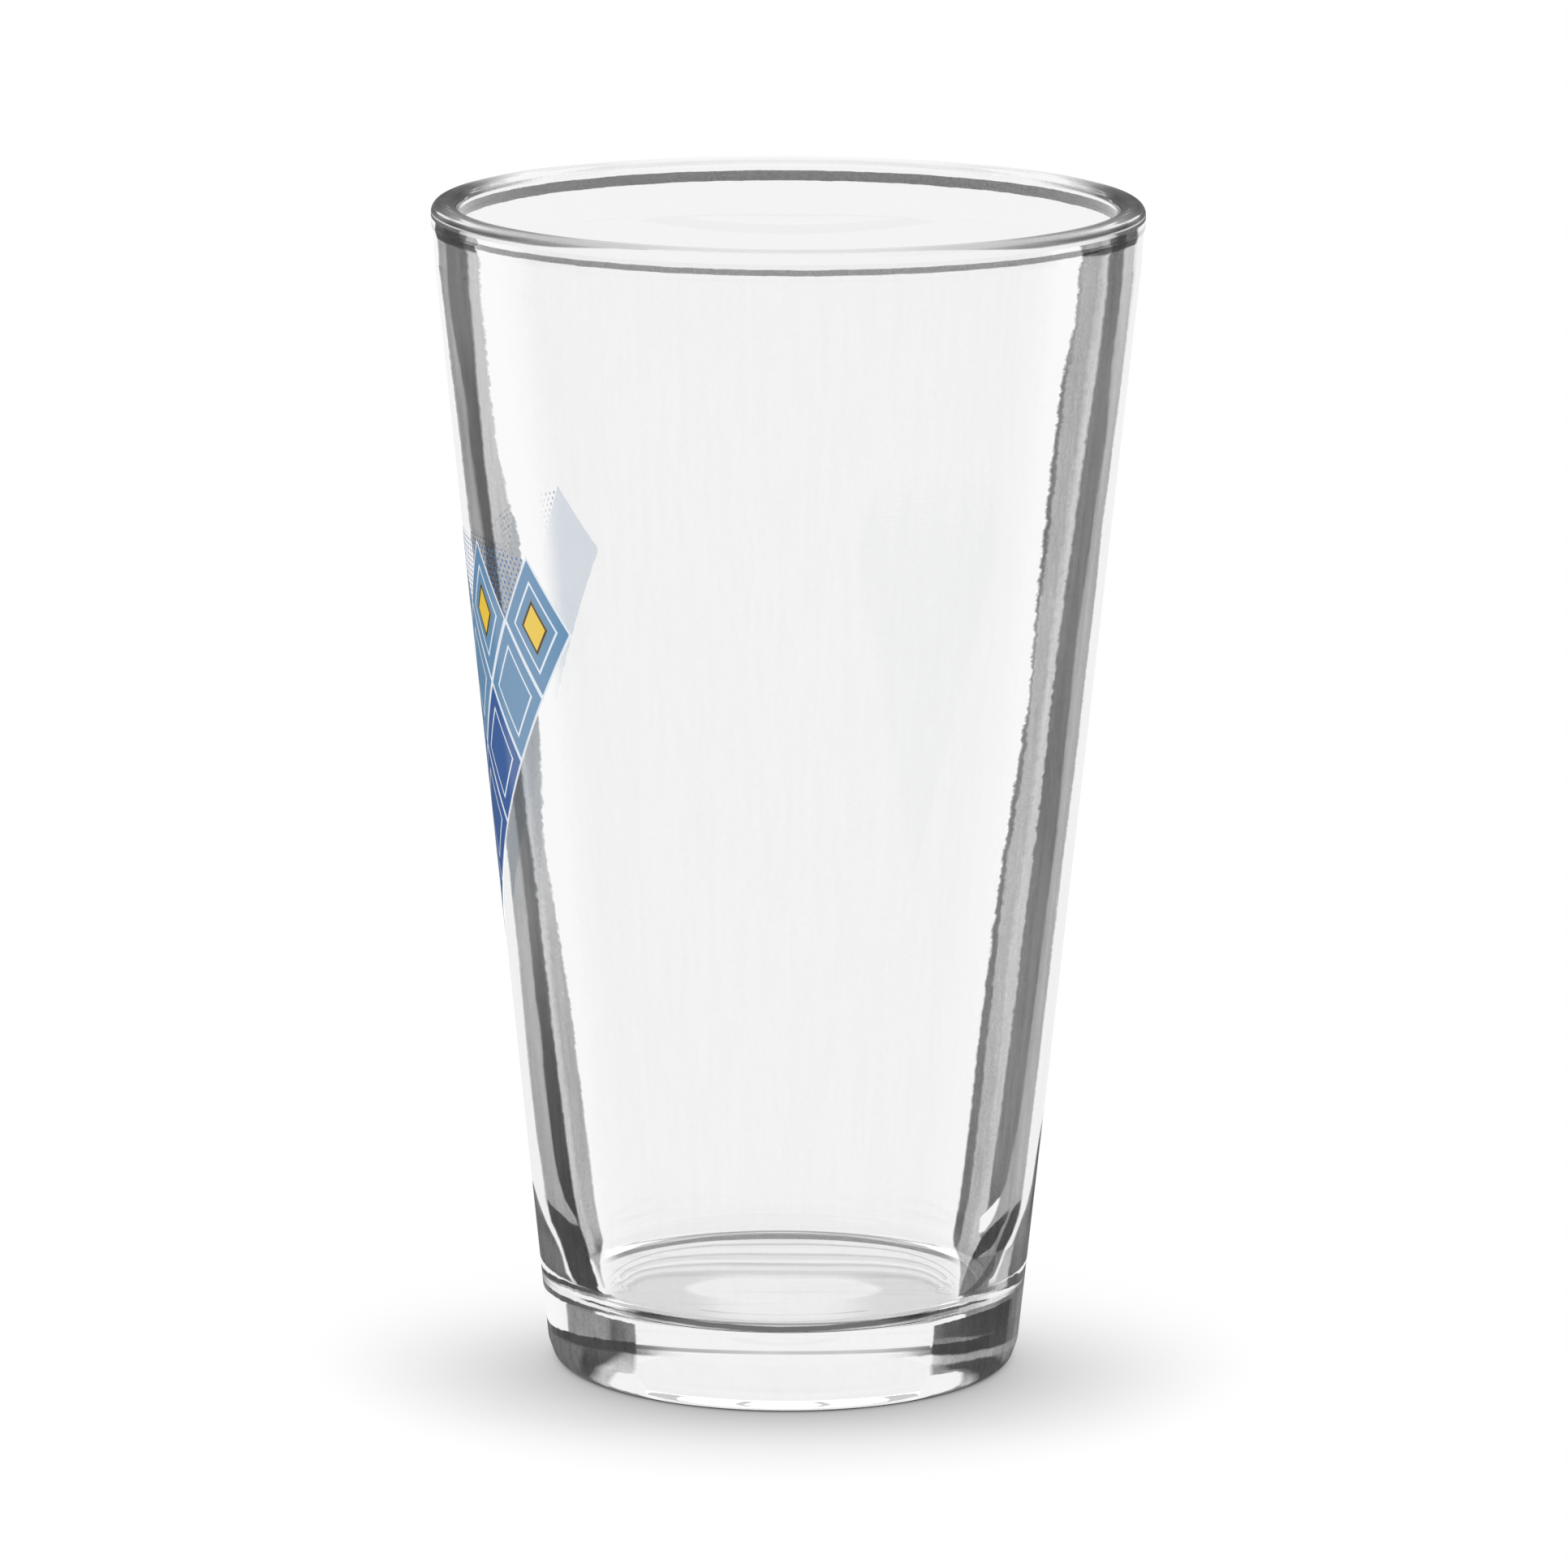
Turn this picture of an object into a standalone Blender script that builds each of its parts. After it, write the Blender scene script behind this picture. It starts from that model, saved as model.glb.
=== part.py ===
"""A pint glass: a tapered, thick-based tumbler pressed in one piece from clear soda-lime glass.

Its only other matter is ink. A harlequin pattern of lozenges, with a small diamond on some of
them, is fired on the outside of the wall. Each patch of ink is a thin film of its own.

The glass stands on the plane Z = 0 with its axis on Z. Lengths are in metres.
"""

import math

import bmesh
import bpy

# Tumbler
HEIGHT = 0.148
MOUTH_RADIUS = 0.0445          # widest circle of the rim's bead
FOOT_RADIUS = 0.02976          # where the wall's taper would meet the table
WALL_AT_RIM = 0.0032           # wall thickness just below the rim
WALL_AT_FLOOR = 0.0043         # wall thickness level with the cavity's floor
BASE_THICKNESS = 0.0096        # table to the cavity's floor
FLOOR_FILLET = 0.0042
HEEL_RADIUS = 0.0030

# Rim: a fire-polished bead, a little thicker than the wall below it
BEAD_THICKNESS = 0.0034
BEAD_HEIGHT = 0.0037
BEAD_CREST_RADIUS = 0.0016
BEAD_EASE = 0.0012             # fillet where the bead runs into the wall
NECK_INSET = 0.00030           # how far the outside steps in under the bead
NECK_LENGTH = 0.0035           # height over which the wall comes back to its taper
SHOULDER_INSET = 0.00045       # outside of the wall at the end of the neck, from the widest circle

# Shallow hollow under the base, which leaves a ring to stand on
PUNT_RADIUS = 0.0225
PUNT_DEPTH = 0.0011
PUNT_SLOPE = 0.0035            # width of the hollow's sloping edge
PUNT_EASE = 0.0015

# Harlequin print
PRINT_ROWS = 5                 # lozenges in the top row; each row below holds one fewer
LOZENGE_WIDTH = 0.0135
LOZENGE_HEIGHT = 0.0180
LOZENGE_GAP = 0.0007           # clear line between neighbours
BLUE_ROWS = 2                  # rows from the top that are sky blue, the rest are deep blue
DIAMOND_WIDTH = 0.0052
DIAMOND_HEIGHT = 0.0070
PRINT_TIP_HEIGHT = 0.0535      # lowest point of the pattern, above the table
PRINT_AZIMUTH = math.pi        # the pattern's middle faces -X
INK_THICKNESS = 0.0001
INK_CLEARANCE = 0.00006

# Fineness of the round shapes
AROUND = 80
ARC_STEP = math.radians(18)

SHOULDER_HEIGHT = HEIGHT - BEAD_HEIGHT - NECK_LENGTH
SHOULDER_RADIUS = MOUTH_RADIUS - SHOULDER_INSET

CLEAR_GLASS = ("clear_glass", (0.95, 0.96, 0.96), 0.02, 1.0)
SKY_BLUE = ("sky_blue_ink", (0.13, 0.31, 0.51), 0.35, 0.0)
DEEP_BLUE = ("deep_blue_ink", (0.022, 0.11, 0.35), 0.35, 0.0)
YELLOW = ("yellow_ink", (0.89, 0.59, 0.02), 0.35, 0.0)


def remove_everything():
    """Empty the scene."""
    for thing in list(bpy.data.objects):
        bpy.data.objects.remove(thing, do_unlink=True)


def material(name, colour, roughness, transmission):
    """A Principled material of one colour."""
    made = bpy.data.materials.get(name) or bpy.data.materials.new(name)
    made.use_nodes = True
    shader = made.node_tree.nodes["Principled BSDF"]
    shader.inputs["Base Color"].default_value = (*colour, 1.0)
    shader.inputs["Roughness"].default_value = roughness
    shader.inputs["Metallic"].default_value = 0.0
    shader.inputs["Transmission Weight"].default_value = transmission
    made.diffuse_color = (*colour, 1.0)
    return made


def outer_radius(height):
    """Radius of the tapered outside of the wall at a height above the table."""
    return FOOT_RADIUS + (SHOULDER_RADIUS - FOOT_RADIUS) * height / SHOULDER_HEIGHT


def rounded(corners):
    """Points of an outline whose corners are (radius, height, fillet), with each fillet as an arc.

    A fillet is limited to what the two sides beside it can hold.
    """
    points = []
    last = len(corners) - 1
    for i, (r, z, fillet) in enumerate(corners):
        if fillet == 0.0 or i in (0, last):
            points.append((r, z))
            continue
        before, after = corners[i - 1], corners[i + 1]
        to_before = (before[0] - r, before[1] - z)
        to_after = (after[0] - r, after[1] - z)
        room_before = math.hypot(*to_before)
        room_after = math.hypot(*to_after)
        start = math.atan2(to_before[1], to_before[0])
        end = math.atan2(to_after[1], to_after[0])
        opening = abs((end - start + math.pi) % (2 * math.pi) - math.pi)
        shared_before = 1.0 if i == 1 else 0.5
        shared_after = 1.0 if i == last - 1 else 0.5
        tangent = min(fillet / math.tan(opening / 2), shared_before * room_before * 0.98,
                      shared_after * room_after * 0.98)
        radius = tangent * math.tan(opening / 2)
        middle = start + ((end - start + math.pi) % (2 * math.pi) - math.pi) / 2
        reach = radius / math.sin(opening / 2)
        centre = (r + reach * math.cos(middle), z + reach * math.sin(middle))
        turn = math.pi - opening
        steps = max(2, math.ceil(turn / ARC_STEP))
        first = (r + tangent * math.cos(start), z + tangent * math.sin(start))
        from_angle = math.atan2(first[1] - centre[1], first[0] - centre[0])
        side = 1.0 if (end - start + math.pi) % (2 * math.pi) - math.pi < 0 else -1.0
        for k in range(steps + 1):
            angle = from_angle + side * turn * k / steps
            points.append((centre[0] + radius * math.cos(angle),
                           centre[1] + radius * math.sin(angle)))
    return points


def tumbler_outline():
    """Half section of the glass: cavity floor, inner wall, rim, outer wall, heel and hollow base."""
    bead_foot = HEIGHT - BEAD_HEIGHT
    inner_at_shoulder = SHOULDER_RADIUS - WALL_AT_RIM
    inner_at_floor = outer_radius(BASE_THICKNESS) - WALL_AT_FLOOR
    return rounded([
        (0.0, BASE_THICKNESS, 0.0),
        (inner_at_floor, BASE_THICKNESS, FLOOR_FILLET),
        (inner_at_shoulder, SHOULDER_HEIGHT, BEAD_EASE),
        (MOUTH_RADIUS - BEAD_THICKNESS, bead_foot + BEAD_EASE, BEAD_EASE),
        (MOUTH_RADIUS - BEAD_THICKNESS, HEIGHT, BEAD_CREST_RADIUS),
        (MOUTH_RADIUS, HEIGHT, BEAD_CREST_RADIUS),
        (MOUTH_RADIUS, bead_foot + BEAD_EASE, BEAD_EASE),
        (MOUTH_RADIUS - NECK_INSET, bead_foot, BEAD_EASE),
        (SHOULDER_RADIUS, SHOULDER_HEIGHT, 0.0),
        (FOOT_RADIUS, 0.0, HEEL_RADIUS),
        (PUNT_RADIUS, 0.0, PUNT_EASE),
        (PUNT_RADIUS - PUNT_SLOPE, PUNT_DEPTH, PUNT_EASE),
        (0.0, PUNT_DEPTH, 0.0),
    ])


def add_object(name, mesh, finish, collection):
    """Put a mesh in the scene as one part with its own material."""
    part = bpy.data.objects.new(name, mesh)
    mesh.materials.append(material(*finish))
    collection.objects.link(part)
    return part


def make_tumbler(collection):
    """Turn the half section once round the axis."""
    outline = tumbler_outline()
    mesh = bpy.data.meshes.new("glass_tumbler")
    edges = [(i, i + 1) for i in range(len(outline) - 1)]
    mesh.from_pydata([(r, 0.0, z) for r, z in outline], edges, [])
    tumbler = add_object("glass_tumbler", mesh, CLEAR_GLASS, collection)
    turn = tumbler.modifiers.new("turn", "SCREW")
    turn.axis = "Z"
    turn.angle = 2 * math.pi
    turn.steps = AROUND
    turn.render_steps = AROUND
    turn.use_merge_vertices = True
    turn.merge_threshold = 0.00001
    turn.use_smooth_shade = True
    return tumbler


def on_wall(along, height, layer):
    """Where a point of the flat pattern lies on the tapered wall.

    along is its distance round the wall from the pattern's middle, to the right as seen from
    outside. layer is 0 for ink on the glass and 1 for ink on ink.
    """
    angle = PRINT_AZIMUTH + along / outer_radius(height)
    radius = outer_radius(height) + INK_CLEARANCE + layer * (INK_THICKNESS + INK_CLEARANCE)
    return (radius * math.cos(angle), radius * math.sin(angle), height)


def cells_across(size, middle):
    """Fewest cells a side at which the flat cells of a film stay off the round wall under it."""
    lowest_radius = outer_radius(middle[1] - size[1] / 2)
    widest_cell = math.sqrt(4 * lowest_radius * INK_CLEARANCE)
    return max(2, math.ceil(size[0] / widest_cell))


def make_patch(name, middle, size, layer, finish, collection):
    """A lozenge-shaped film of ink on the wall.

    middle is (distance round the wall, height) and size is (width, height) from tip to tip.
    """
    cells = cells_across(size, middle)
    shape = bmesh.new()
    bmesh.ops.create_grid(shape, x_segments=cells, y_segments=cells, size=1.0)
    for point in shape.verts:
        a, b, _ = point.co
        along = middle[0] + (a - b) * size[0] / 4
        height = middle[1] + (a + b) * size[1] / 4
        point.co = on_wall(along, height, layer)
    mesh = bpy.data.meshes.new(name)
    shape.to_mesh(mesh)
    shape.free()
    mesh.shade_smooth()
    patch = add_object(name, mesh, finish, collection)
    film = patch.modifiers.new("film", "SOLIDIFY")
    film.thickness = INK_THICKNESS
    film.offset = 1.0
    return patch


def inset(size, gap):
    """Size of a lozenge after its four sides move in by half the gap."""
    half_width, half_height = size[0] / 2, size[1] / 2
    kept = 1.0 - (gap / 2) * math.hypot(half_width, half_height) / (half_width * half_height)
    return (size[0] * kept, size[1] * kept)


def make_print(collection):
    """Rows of lozenges that narrow to a tip, with a diamond on each lozenge of the top row."""
    lozenge = inset((LOZENGE_WIDTH, LOZENGE_HEIGHT), LOZENGE_GAP)
    for row in range(PRINT_ROWS):
        count = PRINT_ROWS - row
        height = PRINT_TIP_HEIGHT + count * LOZENGE_HEIGHT / 2
        finish = SKY_BLUE if row < BLUE_ROWS else DEEP_BLUE
        for place in range(count):
            along = (place - (count - 1) / 2) * LOZENGE_WIDTH
            make_patch(f"print_lozenge_{row + 1}_{place + 1}", (along, height), lozenge,
                       0, finish, collection)
            if row == 0:
                make_patch(f"print_diamond_{place + 1}", (along, height),
                           (DIAMOND_WIDTH, DIAMOND_HEIGHT), 1, YELLOW, collection)


def main():
    remove_everything()
    collection = bpy.data.collections.new("pint_glass")
    bpy.context.scene.collection.children.link(collection)
    make_tumbler(collection)
    make_print(collection)


main()
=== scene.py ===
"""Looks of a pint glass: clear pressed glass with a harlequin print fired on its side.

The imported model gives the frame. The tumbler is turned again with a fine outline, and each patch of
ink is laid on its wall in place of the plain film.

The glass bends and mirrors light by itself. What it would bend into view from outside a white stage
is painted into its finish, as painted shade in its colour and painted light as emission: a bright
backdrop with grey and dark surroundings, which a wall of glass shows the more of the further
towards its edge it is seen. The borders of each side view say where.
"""

import logging
import math
from collections.abc import Callable, Iterable, Sequence
from dataclasses import dataclass, field
from enum import Enum

import bmesh
import bpy
from mathutils import Matrix, Vector


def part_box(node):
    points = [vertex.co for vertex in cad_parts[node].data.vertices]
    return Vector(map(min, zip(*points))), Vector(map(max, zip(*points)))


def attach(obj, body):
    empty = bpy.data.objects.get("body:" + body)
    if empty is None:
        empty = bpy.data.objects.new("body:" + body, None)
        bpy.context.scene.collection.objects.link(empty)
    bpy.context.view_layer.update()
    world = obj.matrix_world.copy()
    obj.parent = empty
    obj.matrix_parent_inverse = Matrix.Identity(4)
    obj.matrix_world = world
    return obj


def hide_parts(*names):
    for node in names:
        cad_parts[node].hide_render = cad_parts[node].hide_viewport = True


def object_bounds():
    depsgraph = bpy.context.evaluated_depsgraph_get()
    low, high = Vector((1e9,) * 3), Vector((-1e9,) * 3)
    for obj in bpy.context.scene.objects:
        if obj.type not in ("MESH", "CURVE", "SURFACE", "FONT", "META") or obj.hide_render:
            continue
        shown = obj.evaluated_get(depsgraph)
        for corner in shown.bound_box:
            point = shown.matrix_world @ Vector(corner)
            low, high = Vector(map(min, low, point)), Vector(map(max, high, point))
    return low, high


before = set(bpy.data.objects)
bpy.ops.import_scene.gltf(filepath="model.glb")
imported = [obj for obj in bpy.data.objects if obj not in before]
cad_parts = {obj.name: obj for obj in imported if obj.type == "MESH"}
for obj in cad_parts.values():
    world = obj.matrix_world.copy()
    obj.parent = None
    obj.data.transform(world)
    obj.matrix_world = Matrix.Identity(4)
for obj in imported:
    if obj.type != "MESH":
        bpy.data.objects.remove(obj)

LOG = logging.getLogger("pint_glass")
MM = 0.001
BODY = "root"
CAD_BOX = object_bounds()

# Light of a white backdrop, as shares of white
GLOSS = 0.02        # what the face of the glass mirrors
CLEAREST = 0.95     # what clear glass shows of the backdrop, its gloss included
BACKDROP = 0.955    # how bright the backdrop looks on screen through both walls

BLACK = (0.0, 0.0, 0.0)
WHITE = (1.0, 1.0, 1.0)

Point = tuple[float, float]
Colour = tuple[float, float, float]


# ---------------------------------------------------------------------------------------------
# Shader building
# ---------------------------------------------------------------------------------------------


class Signal:
    """A number that varies over a surface: an output socket that takes part in arithmetic."""

    def __init__(self, graph: "Graph", socket: bpy.types.NodeSocket) -> None:
        """Wrap a socket.

        Args:
            graph: The node tree that the socket belongs to.
            socket: The output socket.
        """
        self.graph = graph
        self.socket = socket

    def __add__(self, other: "Signal | float") -> "Signal":
        """Sum."""
        return self.graph.math("ADD", self, other)

    __radd__ = __add__

    def __sub__(self, other: "Signal | float") -> "Signal":
        """Difference."""
        return self.graph.math("SUBTRACT", self, other)

    def __rsub__(self, other: float) -> "Signal":
        """Difference, with the signal taken away."""
        return self.graph.math("SUBTRACT", other, self)

    def __mul__(self, other: "Signal | float") -> "Signal":
        """Product."""
        return self.graph.math("MULTIPLY", self, other)

    __rmul__ = __mul__

    def __truediv__(self, other: "Signal | float") -> "Signal":
        """Quotient."""
        return self.graph.math("DIVIDE", self, other)

    def __rtruediv__(self, other: float) -> "Signal":
        """Quotient, with the signal as the divisor."""
        return self.graph.math("DIVIDE", other, self)

    def __neg__(self) -> "Signal":
        """The signal with its sign turned."""
        return self * -1.0

    def __gt__(self, other: "Signal | float") -> "Signal":
        """1 where the signal is the larger, otherwise 0."""
        return self.graph.math("GREATER_THAN", self, other)

    def __lt__(self, other: "Signal | float") -> "Signal":
        """1 where the signal is the smaller, otherwise 0."""
        return self.graph.math("LESS_THAN", self, other)

    def root(self) -> "Signal":
        """Square root, with nothing below zero."""
        return self.graph.math("SQRT", self.graph.math("MAXIMUM", self, 0.0))

    def at_most(self, limit: "Signal | float") -> "Signal":
        """The smaller of the signal and a limit."""
        return self.graph.math("MINIMUM", self, limit)

    def at_least(self, limit: "Signal | float") -> "Signal":
        """The larger of the signal and a limit."""
        return self.graph.math("MAXIMUM", self, limit)

    def size(self) -> "Signal":
        """The signal without its sign."""
        return self.graph.math("ABSOLUTE", self)

    def step(self, low: float, high: float, smooth: bool = True) -> "Signal":
        """0 below low, 1 above high, and a ramp between.

        Args:
            low: Where the ramp starts.
            high: Where it ends.
            smooth: Whether the ramp eases in and out.

        Returns:
            The ramp.
        """
        kind = "SMOOTHSTEP" if smooth else "LINEAR"
        node = self.graph.node("ShaderNodeMapRange", {"interpolation_type": kind},
                               {"Value": self, "From Min": low, "From Max": high})
        return node.out("Result")


class Node:
    """A node that has been added to a tree."""

    def __init__(self, graph: "Graph", node: bpy.types.Node) -> None:
        """Wrap a node of a graph."""
        self.graph = graph
        self.node = node

    def out(self, name: str) -> Signal:
        """One of the node's outputs, by name."""
        return Signal(self.graph, self.node.outputs[name])


Input = Signal | float | Sequence[float]


class Graph:
    """The node tree of one material or world, built from Python expressions."""

    def __init__(self, owner: bpy.types.Material | bpy.types.World) -> None:
        """Start an empty tree.

        Args:
            owner: The material or world that the tree belongs to.
        """
        owner.use_nodes = True
        self.tree = owner.node_tree
        self.tree.nodes.clear()
        world = isinstance(owner, bpy.types.World)
        self.output = "ShaderNodeOutputWorld" if world else "ShaderNodeOutputMaterial"

    def node(self, kind: str, settings: dict | None = None,
             inputs: dict[str | int, Input] | None = None) -> Node:
        """Add a node.

        Args:
            kind: The node's type.
            settings: Its properties; the stops of a ramp come under "stops".
            inputs: Values or links of its sockets, by name or place.

        Returns:
            The node.
        """
        made = self.tree.nodes.new(kind)
        for name, value in (settings or {}).items():
            if name == "stops":
                self._set_stops(made.color_ramp, value)
            else:
                setattr(made, name, value)
        for name, value in (inputs or {}).items():
            if isinstance(value, Signal):
                self.tree.links.new(value.socket, made.inputs[name])
            elif isinstance(value, Sequence) and len(value) == 3 and made.inputs[name].type == "RGBA":
                made.inputs[name].default_value = (*value, 1.0)
            else:
                made.inputs[name].default_value = value
        return Node(self, made)

    @staticmethod
    def _set_stops(ramp: bpy.types.ColorRamp, stops: Sequence[tuple[float, Colour]]) -> None:
        """Give a ramp its stops.

        Args:
            ramp: The ramp.
            stops: A place from 0 to 1 and three values for each stop.
        """
        while len(ramp.elements) > 1:
            ramp.elements.remove(ramp.elements[-1])
        for i, (place, value) in enumerate(stops):
            stop = ramp.elements[0] if i == 0 else ramp.elements.new(place)
            stop.position = place
            stop.color = (*value, 1.0)

    def math(self, operation: str, *values: Signal | float) -> Signal:
        """Work one operation on numbers; it adds a Math node."""
        made = self.node("ShaderNodeMath", {"operation": operation}, dict(enumerate(values)))
        return made.out("Value")

    def blend(self, share: Signal | float, first: Input, second: Input) -> Signal:
        """Mix two colours.

        Args:
            share: How much of the second colour there is, from 0 to 1.
            first: The colour at 0.
            second: The colour at 1.

        Returns:
            The mixed colour.
        """
        made = self.node("ShaderNodeMix", {"data_type": "RGBA"},
                         {0: share, 6: self._rgba(first), 7: self._rgba(second)})
        return Signal(self, made.node.outputs[2])

    @staticmethod
    def _rgba(value: Input) -> Input:
        """A colour with its alpha; a link is passed on."""
        return value if isinstance(value, Signal) else (*value, 1.0)

    def place(self) -> tuple[Signal, Signal, Signal]:
        """Where the shaded point lies in the object's own frame.

        Returns:
            Its X, Y and Z.
        """
        where = self.node("ShaderNodeTexCoord").out("Object")
        parts = self.node("ShaderNodeSeparateXYZ", {}, {0: where})
        return parts.out("X"), parts.out("Y"), parts.out("Z")

    def noise(self, scale: Sequence[float], detail: float = 2.0, roughness: float = 0.5) -> Signal:
        """Smooth noise from 0 to 1 over the object's own frame.

        Args:
            scale: How fast it varies along X, Y and Z, in cycles a metre.
            detail: How many finer layers it has.
            roughness: How strong those layers are.

        Returns:
            The noise.
        """
        where = self.node("ShaderNodeTexCoord").out("Object")
        stretched = self.node("ShaderNodeMapping", {}, {"Vector": where, "Scale": tuple(scale)})
        made = self.node("ShaderNodeTexNoise", {},
                         {"Vector": stretched.out("Vector"), "Scale": 1.0, "Detail": detail,
                          "Roughness": roughness})
        return made.out("Fac")

    def grain(self) -> Signal:
        """Speckle as fine as an eye can tell, from about -0.5 to 0.5."""
        return self.noise((3000.0, 3000.0, 3000.0), 1.0) - 0.5

    def mirrored(self, index: float) -> Signal:
        """Share of the light that a smooth surface of this index mirrors."""
        return self.node("ShaderNodeFresnel", {}, {"IOR": index}).out("Fac")

    def curve(self, place: Signal, points: Sequence[Point]) -> Signal:
        """A number that follows a line through points.

        Args:
            place: Where to read the line, from 0 to 1.
            points: Places along the line, each with its value.

        Returns:
            The value.
        """
        stops = [(at, (value, 0.0, 0.0)) for at, value in points]
        ramp = self.node("ShaderNodeValToRGB", {"stops": stops}, {"Fac": place})
        return self.node("ShaderNodeSeparateColor", {}, {"Color": ramp.out("Color")}).out("Red")

    def aslant(self) -> Signal:
        """How far the surface is turned from whoever looks: 0 square on, 1 edge on."""
        return self.node("ShaderNodeLayerWeight", {}, {"Blend": 0.5}).out("Facing")

    def facing(self, direction: tuple[Signal | float, Signal | float, Signal | float]) -> Signal:
        """How squarely an arrow one unit long is seen: 0 from the side, 1 from either end."""
        arrow = self.node("ShaderNodeCombineXYZ", {}, dict(enumerate(direction))).out("Vector")
        return 1.0 - self.node("ShaderNodeLayerWeight", {}, {"Blend": 0.5, "Normal": arrow}).out("Facing")

    def between(self, share: Signal, first: Signal | float, second: Signal | float) -> Signal:
        """Blend two numbers; the share, from 0 to 1, is that of the second."""
        mixed = self.node("ShaderNodeMix", {"data_type": "FLOAT"}, {0: share, 2: first, 3: second})
        return Signal(self, mixed.node.outputs[0])

    def finish(self, shader: Signal) -> None:
        """Send a shader to the tree's output."""
        output = self.tree.nodes.new(self.output)
        self.tree.links.new(shader.socket, output.inputs["Surface"])


# ---------------------------------------------------------------------------------------------
# Modelling with operators
# ---------------------------------------------------------------------------------------------


def start_piece(name: str, add: str, **size: float | int | tuple) -> bpy.types.Object:
    """Add a primitive with nothing else selected.

    Args:
        name: Name of the new piece.
        add: The primitive, such as "grid".
        size: The arguments of the primitive's operator.

    Returns:
        The new object, active and selected.
    """
    bpy.ops.object.select_all(action="DESELECT")
    getattr(bpy.ops.mesh, f"primitive_{add}_add")(**size)
    piece = bpy.context.object
    piece.name = name
    piece.data.name = name
    return piece


def select_where(piece: bpy.types.Object, test: Callable[[Vector], bool]) -> None:
    """In edit mode, select some of the vertices and nothing else.

    Args:
        piece: The piece that is being edited.
        test: Whether a vertex at this place is wanted.
    """
    bpy.ops.mesh.select_all(action="DESELECT")
    shape = bmesh.from_edit_mesh(piece.data)
    for point in shape.verts:
        point.select = test(point.co)
    shape.select_flush(True)
    bmesh.update_edit_mesh(piece.data)


def turn_outline(name: str, outline: Sequence[Point], around: int) -> bpy.types.Object:
    """Turn a half section about Z into a closed shape.

    Args:
        name: Name of the piece.
        outline: (radius, height) of each point, from the axis back to the axis.
        around: Steps in a full turn.

    Returns:
        The turned object, with its faces outwards.
    """
    piece = start_piece(name, "plane", size=MM)
    bpy.ops.object.mode_set(mode="EDIT")
    select_where(piece, lambda co: not (co.x > 0 and co.y > 0))
    bpy.ops.mesh.delete(type="VERT")
    shape = bmesh.from_edit_mesh(piece.data)
    shape.verts.ensure_lookup_table()
    shape.verts[0].co = (outline[0][0], 0.0, outline[0][1])
    shape.verts[0].select = True
    bmesh.update_edit_mesh(piece.data)
    for (r0, z0), (r1, z1) in zip(outline, outline[1:]):
        bpy.ops.mesh.extrude_vertices_move(TRANSFORM_OT_translate={"value": (r1 - r0, 0.0, z1 - z0)})
    bpy.ops.mesh.select_all(action="SELECT")
    bpy.ops.mesh.spin(steps=around, angle=math.tau, center=(0.0, 0.0, 0.0), axis=(0.0, 0.0, 1.0))
    bpy.ops.mesh.select_all(action="SELECT")
    bpy.ops.mesh.remove_doubles(threshold=0.001 * MM)
    bpy.ops.mesh.normals_make_consistent(inside=False)
    bpy.ops.object.mode_set(mode="OBJECT")
    bpy.ops.object.shade_smooth()
    return piece


def settle(piece: bpy.types.Object, finish: bpy.types.Material,
           replaced: Iterable[str] = ()) -> bpy.types.Object:
    """Give a finished piece its material and its place in the frame.

    Args:
        piece: The piece, with its place in its mesh.
        finish: Its material.
        replaced: The plain nodes that it stands for.

    Returns:
        The piece.
    """
    piece.data.materials.clear()
    piece.data.materials.append(finish)
    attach(piece, BODY)
    if replaced:
        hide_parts(*replaced)
    LOG.info("%s: %d faces", piece.name, len(piece.data.polygons))
    return piece


def show_back(piece: bpy.types.Object, finish: bpy.types.Material) -> None:
    """Give the faces of a piece that look in at the glass their own finish.

    Args:
        piece: The piece.
        finish: What those faces show through the glass.
    """
    piece.data.materials.append(finish)
    for face in piece.data.polygons:
        inward = face.normal.x * face.center.x + face.normal.y * face.center.y < 0.0
        face.material_index = int(inward)


# ---------------------------------------------------------------------------------------------
# The glass
# ---------------------------------------------------------------------------------------------


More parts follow.
